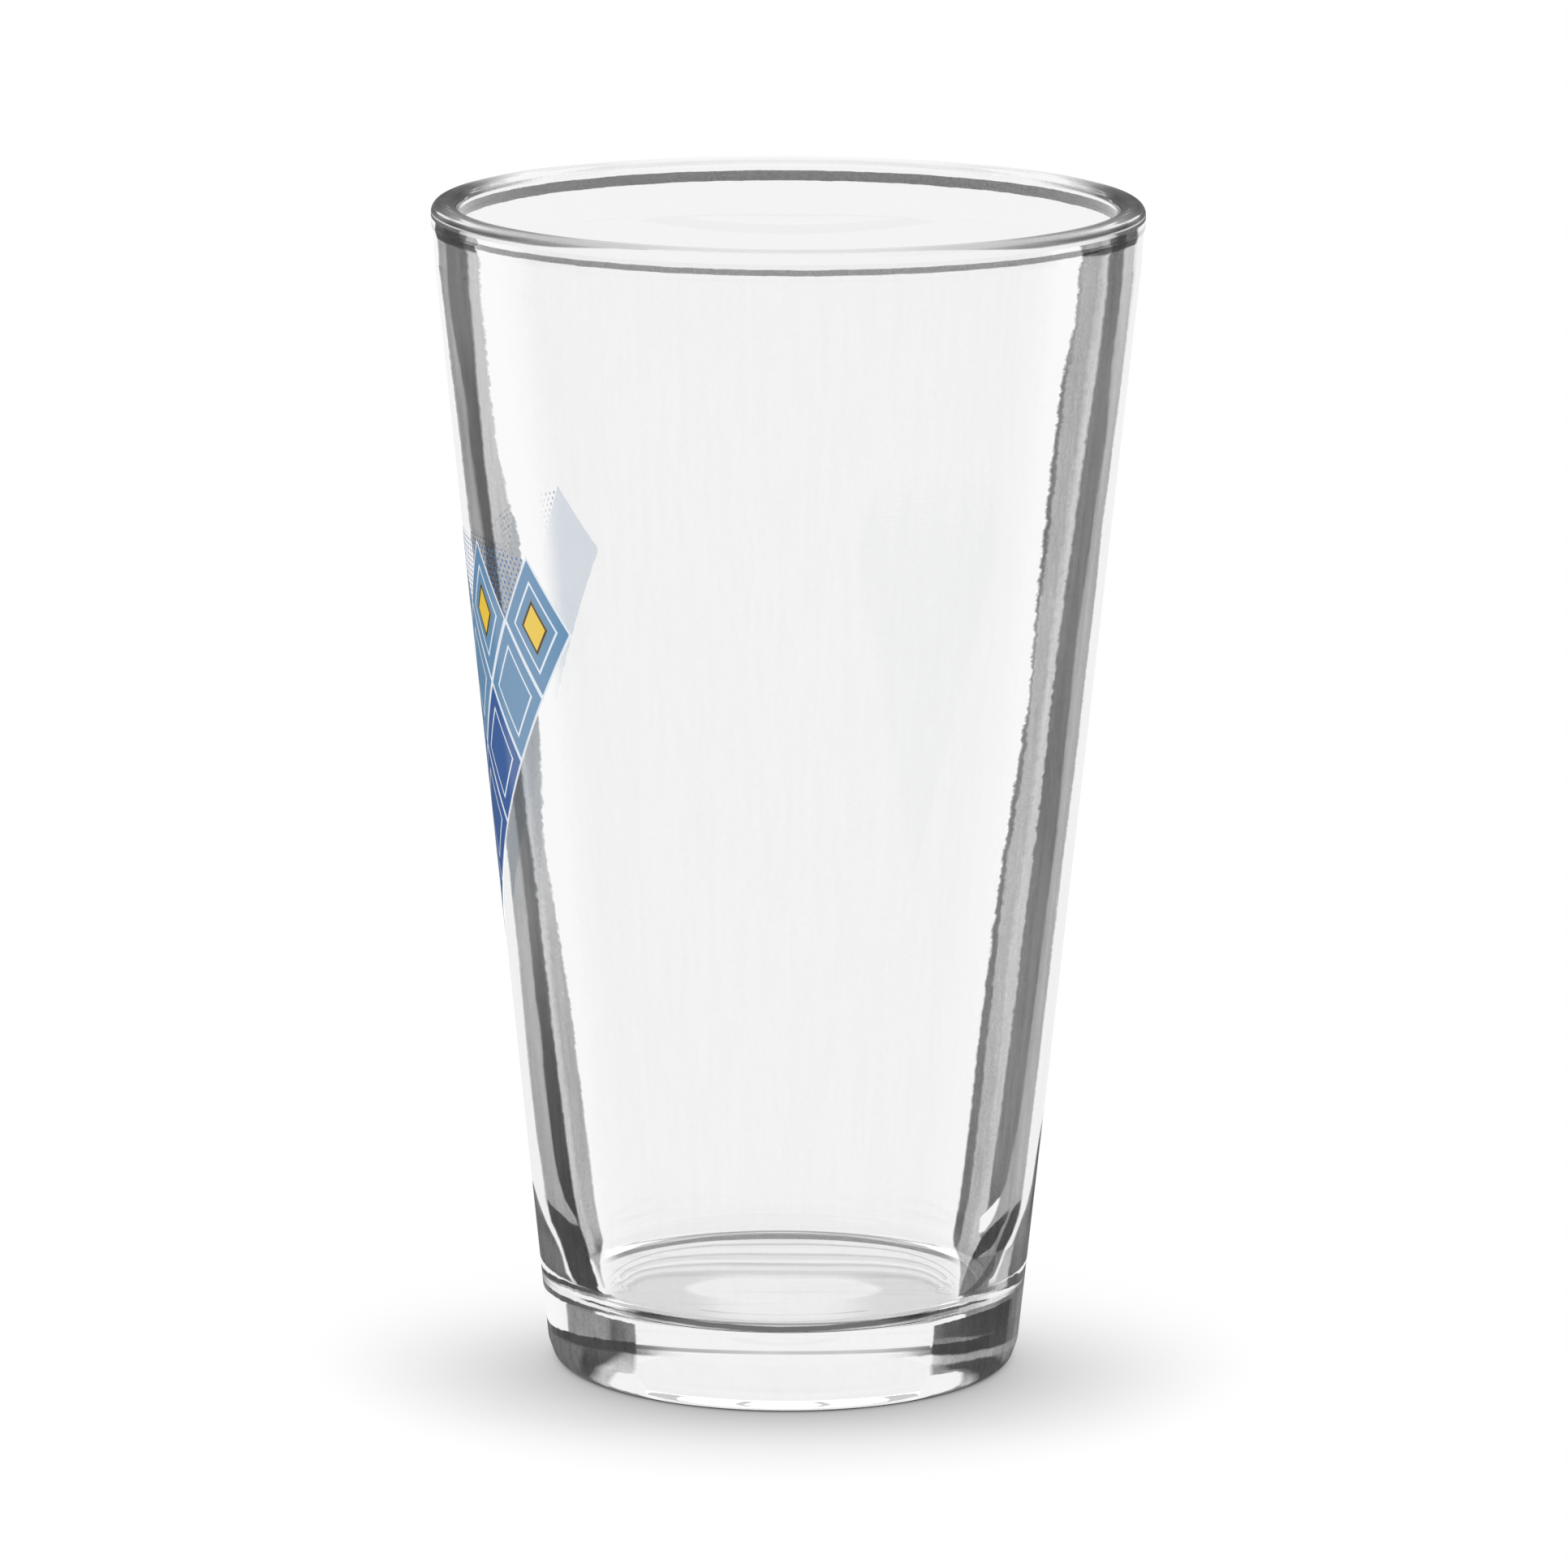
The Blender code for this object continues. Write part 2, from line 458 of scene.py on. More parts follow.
@dataclass
class Tumbler:
    """The pressed glass: its sizes, its half section and its mesh. Lengths are in metres."""

    height: float = CAD_BOX[1][2] - CAD_BOX[0][2]
    mouth_radius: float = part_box("glass_tumbler")[1].x
    foot_radius: float = 29.76 * MM
    wall_at_rim: float = 3.2 * MM
    wall_at_floor: float = 4.3 * MM
    base_thickness: float = 9.6 * MM
    floor_fillet: float = 3.6 * MM
    heel_height: float = 2.4 * MM
    heel_inset: float = 0.6 * MM
    heel_round: float = 2.6 * MM
    foot_round: float = 1.0 * MM
    bead_thickness: float = 3.4 * MM
    bead_height: float = 3.7 * MM
    bead_crest_radius: float = 1.6 * MM
    bead_ease: float = 1.2 * MM
    neck_inset: float = 0.30 * MM
    neck_length: float = 3.5 * MM
    shoulder_inset: float = 0.45 * MM
    punt_radius: float = 22.5 * MM
    punt_depth: float = 1.1 * MM
    punt_slope: float = 3.5 * MM
    punt_ease: float = 1.5 * MM
    around: int = 256
    arc_step: float = math.radians(6)
    support: float = 0.25 * MM

    @property
    def shoulder_height(self) -> float:
        """Height at which the wall leaves its taper, under the bead."""
        return self.height - self.bead_height - self.neck_length

    @property
    def shoulder_radius(self) -> float:
        """Outside radius of the wall at the shoulder."""
        return self.mouth_radius - self.shoulder_inset

    @property
    def outer_slope(self) -> float:
        """How much the outside grows in radius for each unit of height."""
        return (self.shoulder_radius - self.foot_radius) / self.shoulder_height

    @property
    def floor_radius(self) -> float:
        """Inside radius of the wall, carried down to the cavity's floor."""
        return self.outer_radius(self.base_thickness) - self.wall_at_floor

    @property
    def inner_slope(self) -> float:
        """How much the inside grows in radius for each unit of height."""
        top = self.shoulder_radius - self.wall_at_rim
        return (top - self.floor_radius) / (self.shoulder_height - self.base_thickness)

    @property
    def wall_middle(self) -> Point:
        """Middle of the wall: its radius carried down to the table, and its growth with height."""
        inner_foot = self.floor_radius - self.inner_slope * self.base_thickness
        return (self.foot_radius + inner_foot) / 2, (self.outer_slope + self.inner_slope) / 2

    def outer_radius(self, height: float) -> float:
        """Radius of the tapered outside at a height above the table."""
        return self.foot_radius + self.outer_slope * height

    def _rounded(self, corners: Sequence[tuple[float, float, float]]) -> list[Point]:
        """Round the corners of an outline.

        Args:
            corners: (radius, height, fillet) of each corner.

        Returns:
            The outline's points, with each fillet as an arc of short steps.
        """
        points: list[Point] = []
        last = len(corners) - 1
        for i, (r, z, fillet) in enumerate(corners):
            if fillet == 0.0 or i in (0, last):
                points.append((r, z))
                continue
            here = Vector((r, z))
            before = Vector(corners[i - 1][:2]) - here
            after = Vector(corners[i + 1][:2]) - here
            opening = before.angle(after)
            # Two fillets share the straight between them, and a little of it stays straight.
            room = min(before.length * (1.0 if i == 1 else 0.5),
                       after.length * (1.0 if i == last - 1 else 0.5))
            tangent = min(fillet / math.tan(opening / 2), 0.98 * room)
            radius = tangent * math.tan(opening / 2)
            centre = here + (before.normalized() + after.normalized()).normalized() \
                * radius / math.sin(opening / 2)
            spoke = here + before.normalized() * tangent - centre
            turn = (math.pi - opening) * (1.0 if before.cross(after) < 0 else -1.0)
            steps = max(3, math.ceil(abs(turn) / self.arc_step))
            for k in range(steps + 1):
                spoke_k = spoke.copy()
                spoke_k.rotate(Matrix.Rotation(turn * k / steps, 2))
                points.append(tuple(centre + spoke_k))
        return points

    def _supported(self, points: Sequence[Point]) -> list[Point]:
        """Add a point close to each end of a long straight, so that its shading stays flat.

        Args:
            points: The outline.

        Returns:
            The outline with the points added.
        """
        kept = [points[0]]
        for first, second in zip(points, points[1:]):
            start, end = Vector(first), Vector(second)
            along = end - start
            if along.length > 4 * self.support:
                kept.append(tuple(start + along.normalized() * self.support))
                kept.append(tuple(end - along.normalized() * self.support))
            kept.append(second)
        return kept

    def outline(self) -> list[Point]:
        """Half section: cavity floor, inner wall, bead, outer wall, heel and hollow base.

        Returns:
            (radius, height) of each point.
        """
        bead_foot = self.height - self.bead_height
        inner_bead = self.mouth_radius - self.bead_thickness
        return self._supported(self._rounded([
            (0.0, self.base_thickness, 0.0),
            (self.floor_radius, self.base_thickness, self.floor_fillet),
            (self.shoulder_radius - self.wall_at_rim, self.shoulder_height, self.bead_ease),
            (inner_bead, bead_foot + self.bead_ease, self.bead_ease),
            (inner_bead, self.height, self.bead_crest_radius),
            (self.mouth_radius, self.height, self.bead_crest_radius),
            (self.mouth_radius, bead_foot + self.bead_ease, self.bead_ease),
            (self.mouth_radius - self.neck_inset, bead_foot, self.bead_ease),
            (self.shoulder_radius, self.shoulder_height, 0.0),
            (self.outer_radius(self.heel_height), self.heel_height, self.heel_round),
            (self.foot_radius - self.heel_inset, 0.0, self.foot_round),
            (self.punt_radius, 0.0, self.punt_ease),
            (self.punt_radius - self.punt_slope, self.punt_depth, self.punt_ease),
            (0.0, self.punt_depth, 0.0),
        ]))

    def build(self) -> bpy.types.Object:
        """Turn the glass and dress it."""
        piece = turn_outline("glass_tumbler_body", self.outline(), self.around)
        return settle(piece, ClearGlass(self).material(), ["glass_tumbler"])


def passed(bright: float) -> float:
    """Share of the light that passes where glass looks this bright on screen, gloss included."""
    light = ((bright + 0.055) / 1.055) ** 2.4  # from the screen's scale to light
    return max((light - GLOSS) / (CLEAREST - GLOSS), 0.0)


@dataclass(frozen=True)
class Scale:
    """A stretch of length or slant, measured from 0 to 1; a rooted one is finer at its low end."""

    low: float
    high: float
    rooted: bool = False

    def number(self, value: float) -> float:
        """Where a number lies on the scale."""
        share = min(max((value - self.low) / (self.high - self.low), 0.0), 1.0)
        return math.sqrt(share) if self.rooted else share

    def signal(self, value: Signal) -> Signal:
        """Where a signal lies on the scale."""
        share = (value - self.low) / (self.high - self.low)
        return share.root() if self.rooted else share


@dataclass(frozen=True)
class Border:
    """A line at which the painted brightness changes.

    Each point has its place along the line, its place across and the brightness beyond the line.
    """

    points: tuple[tuple[float, float, float], ...]
    soft: float = 0.004

    def lay(self, graph: Graph, level: Signal, along: tuple[Signal, Scale], across: Signal,
            beyond: Signal | None = None) -> Signal:
        """Change what lies beyond the line.

        Args:
            graph: The node tree.
            level: What there is so far.
            along: Place along the line on its scale, with the scale.
            across: Place across the line.
            beyond: What to put beyond the line instead of its own brightness.

        Returns:
            The changed level.
        """
        stops = [(along[1].number(at), (place, passed(bright), 0.0)) for at, place, bright in self.points]
        ramp = graph.node("ShaderNodeValToRGB", {"stops": stops}, {"Fac": along[0]})
        parts = graph.node("ShaderNodeSeparateColor", {}, {"Color": ramp.out("Color")})
        share = (across - parts.out("Red")).step(-self.soft, self.soft, smooth=False)
        return graph.between(share, level, beyond or parts.out("Green"))


@dataclass(frozen=True)
class PaintedSideView:
    """Painted light and shade of one side of the glass, as borders that are laid one after the other.

    upright borders run up the wall, with heights in millimetres, and are laid from the middle of
    the glass to its edge. level ones run along the slant, with depths in millimetres under TOP, and
    are laid downwards. foot ones run up the foot of the glass, under last_level.
    """

    upright: tuple[Border, ...]
    level: tuple[Border, ...]
    last_level: Border
    foot: tuple[Border, ...]

    TOP = 14.0                              # height from which the level borders measure down
    UP = Scale(13.0, 141.0, rooted=True)    # heights of the wall
    ALONG = Scale(0.45, 1.0)                # slants
    FOOT = Scale(0.0, 6.5)                  # heights of the foot
    WALL_STARTS = (12.95, 13.2)             # heights between which the base gives way to the wall

    def of(self, graph: Graph, slant: Signal, height: Signal) -> Signal:
        """Brightness of the side.

        Args:
            graph: The node tree.
            slant: How far towards the edge a point appears, from 0 to 1.
            height: Height above the table in millimetres.

        Returns:
            Share of the light that passes.
        """
        wall: Signal | float = passed(BACKDROP)
        up = (self.UP.signal(height), self.UP)
        for border in self.upright:
            wall = border.lay(graph, wall, up, slant)
        base: Signal | float = passed(BACKDROP)
        along = (self.ALONG.signal(slant), self.ALONG)
        for border in self.level:
            base = border.lay(graph, base, along, self.TOP - height)
        foot: Signal | float = passed(BACKDROP)
        up_foot = (self.FOOT.signal(height), self.FOOT)
        for border in self.foot:
            foot = border.lay(graph, foot, up_foot, slant)
        base = self.last_level.lay(graph, base, along, self.TOP - height, foot)
        return graph.between(height.step(*self.WALL_STARTS), base, wall)


# What each half of the glass shows as painted light and shade, with every point of its borders given
LEFT_PAINTED_VIEW = PaintedSideView(
    upright=(
        Border((
            (13, 0.63, 0.955), (18, 0.64, 0.965), (30, 0.66, 0.97), (60, 0.7, 0.975),
            (110, 0.72, 0.98), (141, 0.76, 0.985),
        ), soft=0.06),
        Border((
            (13, 0.735, 0.95), (13.5, 0.745, 0.9), (14, 0.745, 0.68), (15, 0.752, 0.68),
            (16, 0.757, 0.66), (17, 0.757, 0.66), (18, 0.751, 0.62), (19, 0.745, 0.45),
            (20.3, 0.738, 0.62), (22, 0.748, 0.7), (25, 0.757, 0.7), (30, 0.763, 0.69),
            (40, 0.773, 0.7), (50, 0.785, 0.71), (60, 0.805, 0.73), (65, 0.817, 0.76),
            (72, 0.83, 0.76), (85, 0.808, 0.76), (100, 0.81, 0.78), (110, 0.82, 0.78),
            (115, 0.845, 0.79), (120, 0.86, 0.8), (125, 0.865, 0.81), (141, 0.867, 0.8),
        )),
        Border((
            (13, 0.715, 0.955), (13.5, 0.735, 0.955), (14, 0.75, 0.955), (15, 0.76, 0.955),
            (16, 0.77, 0.955), (17, 0.785, 0.955), (17.3, 0.793, 0.9), (17.6, 0.79, 0.7),
            (18.5, 0.77, 0.74), (20, 0.775, 0.74), (22, 0.795, 0.76), (25, 0.81, 0.79),
            (30, 0.82, 0.8), (40, 0.83, 0.81), (50, 0.84, 0.82), (60, 0.845, 0.83),
            (85, 0.868, 0.83), (110, 0.88, 0.83), (125, 0.885, 0.82), (141, 0.88, 0.82),
        ), soft=0.008),
        Border((
            (13, 0.735, 0.33), (13.4, 0.77, 0.29), (13.7, 0.775, 0.29), (14, 0.77, 0.29),
            (15, 0.778, 0.29), (16, 0.788, 0.29), (17, 0.795, 0.29), (18, 0.797, 0.29),
            (19, 0.803, 0.29), (20, 0.812, 0.29), (21, 0.822, 0.29), (23, 0.828, 0.29),
            (25, 0.835, 0.3), (27, 0.838, 0.31), (30, 0.842, 0.33), (35, 0.848, 0.34),
            (40, 0.852, 0.36), (45, 0.858, 0.38), (50, 0.86, 0.41), (55, 0.863, 0.46),
            (60, 0.866, 0.5), (65, 0.87, 0.51), (75, 0.88, 0.5), (85, 0.888, 0.45),
            (95, 0.89, 0.42), (110, 0.9, 0.39), (120, 0.905, 0.41), (128, 0.905, 0.43),
            (135, 0.9, 0.5), (141, 0.9, 0.5),
        )),
        Border((
            (13, 0.85, 0.29), (21, 0.83, 0.29), (21.15, 0.828, 0.62), (22, 0.835, 0.64),
            (23, 0.855, 0.66), (24, 0.872, 0.67), (25, 0.88, 0.68), (26, 0.888, 0.68),
            (28, 0.895, 0.68), (30, 0.9, 0.69), (35, 0.905, 0.7), (40, 0.908, 0.71),
            (45, 0.905, 0.73), (50, 0.912, 0.74), (60, 0.912, 0.75), (75, 0.92, 0.74),
            (85, 0.925, 0.72), (110, 0.935, 0.68), (120, 0.945, 0.64), (125, 0.945, 0.66),
            (130, 0.955, 0.72), (135, 0.965, 0.76), (141, 0.965, 0.75),
        )),
        Border((
            (13, 0.86, 0.29), (21.1, 0.86, 0.29), (21.6, 0.88, 0.3), (21.9, 0.9, 0.3),
            (22.3, 0.93, 0.31), (22.8, 0.945, 0.35), (23.2, 0.95, 0.94), (30, 0.96, 0.94),
            (141, 0.99, 0.94),
        )),
        Border((
            (13, 0.855, 0.35), (13.3, 0.86, 0.8), (14, 0.875, 0.94), (15, 0.885, 0.94),
            (16, 0.893, 0.94), (17, 0.9, 0.94), (18, 0.908, 0.94), (19, 0.92, 0.94),
            (20, 0.935, 0.94), (21, 0.94, 0.94), (22, 0.945, 0.94), (23, 0.948, 0.94),
            (25, 0.95, 0.945), (27, 0.952, 0.945), (30, 0.958, 0.945), (40, 0.962, 0.945),
            (55, 0.958, 0.945), (75, 0.96, 0.945), (100, 0.968, 0.945), (120, 0.975, 0.955),
            (130, 0.98, 0.96), (141, 0.985, 0.97),
        )),
        Border((
            (13, 0.87, 0.4), (13.5, 0.88, 0.42), (14, 0.895, 0.45), (15, 0.9, 0.45),
            (16, 0.905, 0.46), (17, 0.915, 0.45), (18, 0.93, 0.42), (19, 0.95, 0.4),
            (20, 0.965, 0.5), (21, 0.978, 0.58), (22, 0.988, 0.66), (23, 0.999, 0.72),
            (24, 1.01, 0.75),
        )),
    ),
    level=(
        Border((
            (0.45, 0.7, 0.955), (0.7, 0.8, 0.93), (0.74, 0.8, 0.6), (0.78, 0.8, 0.38),
            (0.86, 1, 0.33), (0.92, 1.2, 0.33), (0.96, 1.5, 0.36), (1, 2, 0.4),
        ), soft=0.06),
        Border((
            (0.45, 1.7, 0.955), (0.7, 1.4, 0.93), (0.76, 1.4, 0.7), (0.82, 1.5, 0.6),
            (0.88, 1.7, 0.7), (0.92, 1.9, 0.7), (0.96, 2.3, 0.6), (1, 2.6, 0.5),
        ), soft=0.06),
        Border((
            (0.45, 1.8, 0.955), (0.7, 1.75, 0.95), (0.78, 1.9, 0.95), (0.86, 2, 0.95),
            (0.92, 2.2, 0.94), (0.96, 2.5, 0.92), (1, 2.8, 0.6),
        ), soft=0.06),
        Border((
            (0.45, 2.1, 0.955), (0.55, 2.15, 0.75), (0.62, 2.3, 0.6), (0.68, 2.5, 0.7),
            (0.72, 2.5, 0.45), (0.76, 2.4, 0.35), (0.82, 2.45, 0.36), (0.86, 2.55, 0.9),
            (0.92, 2.7, 0.93), (1, 3, 0.55),
        ), soft=0.05),
        Border((
            (0.45, 2.8, 0.955), (0.62, 2.75, 0.7), (0.72, 2.65, 0.9), (0.8, 2.7, 0.93),
            (0.9, 2.8, 0.93), (0.96, 2.95, 0.9), (1, 3.2, 0.6),
        ), soft=0.05),
        Border((
            (0.45, 3.3, 0.955), (0.66, 3.3, 0.8), (0.72, 3.15, 0.6), (0.78, 3.2, 0.42),
            (0.86, 3.3, 0.38), (0.92, 3.4, 0.38), (0.96, 3.55, 0.42), (1, 3.7, 0.55),
        ), soft=0.05),
        Border((
            (0.45, 3.5, 0.955), (0.64, 3.55, 0.955), (0.7, 3.5, 0.955),
            (0.77, 3.58, 0.955), (0.785, 3.65, 0.95), (0.8, 3.7, 0.5), (0.86, 3.9, 0.52),
            (0.9, 4.1, 0.55), (0.91, 4.15, 0.95), (0.96, 4.3, 0.97), (1, 4.7, 0.97),
        ), soft=0.05),
        Border((
            (0.45, 4, 0.955), (0.636, 4.05, 0.955), (0.642, 4.05, 0.55), (0.66, 4.05, 0.52),
            (0.7, 4, 0.45), (0.73, 4, 0.4), (0.752, 4, 0.56), (0.8, 4, 0.56),
            (0.88, 4.2, 0.55), (0.905, 4.25, 0.58), (0.912, 4.3, 0.95), (0.96, 4.4, 0.97),
            (1, 4.8, 0.97),
        ), soft=0.05),
        Border((
            (0.45, 6.9, 0.955), (0.55, 6.9, 0.8), (0.6, 6.95, 0.55), (0.636, 6.9, 0.5),
            (0.645, 6.5, 0.3), (0.66, 6.55, 0.29), (0.7, 6.8, 0.29), (0.75, 7, 0.29),
            (0.8, 7.2, 0.29), (0.85, 7.55, 0.29), (0.9, 7.95, 0.3), (0.95, 8.5, 0.33),
            (0.98, 8.8, 0.38), (1, 9.1, 0.5),
        ), soft=0.08),
    ),
    last_level=Border((
        (0.45, 7.4, 0.955), (0.55, 7.6, 0.955), (0.6, 7.85, 0.955), (0.65, 8.05, 0.7),
        (0.68, 8.1, 0.62), (0.72, 8.3, 0.45), (0.76, 8.5, 0.38), (0.8, 8.7, 0.35),
        (0.85, 9, 0.37), (0.9, 9.3, 0.42), (0.95, 9.6, 0.44), (1, 10.1, 0.5),
    ), soft=0.15),
    foot=(
        Border((
            (0.1, 0.7, 0.55), (0.45, 0.7, 0.6), (0.55, 0.78, 0.75), (1, 0.785, 0.75),
            (2, 0.765, 0.75), (3, 0.72, 0.75), (3.3, 0.66, 0.8), (4, 0.65, 0.75), (5, 0.65, 0.68),
            (6, 0.645, 0.6),
        ), soft=0.01),
        Border((
            (0.3, 0.84, 0.4), (1, 0.845, 0.33), (2, 0.82, 0.31), (3, 0.79, 0.3), (4, 0.75, 0.32),
            (5, 0.72, 0.34), (5.5, 0.7, 0.36),
        ), soft=0.02),
        Border((
            (0.3, 0.92, 0.42), (1, 0.9, 0.42), (2, 0.885, 0.43), (3, 0.87, 0.44), (4, 0.86, 0.44),
            (5, 0.85, 0.42), (5.5, 0.84, 0.35),
        ), soft=0.012),
    ),
)

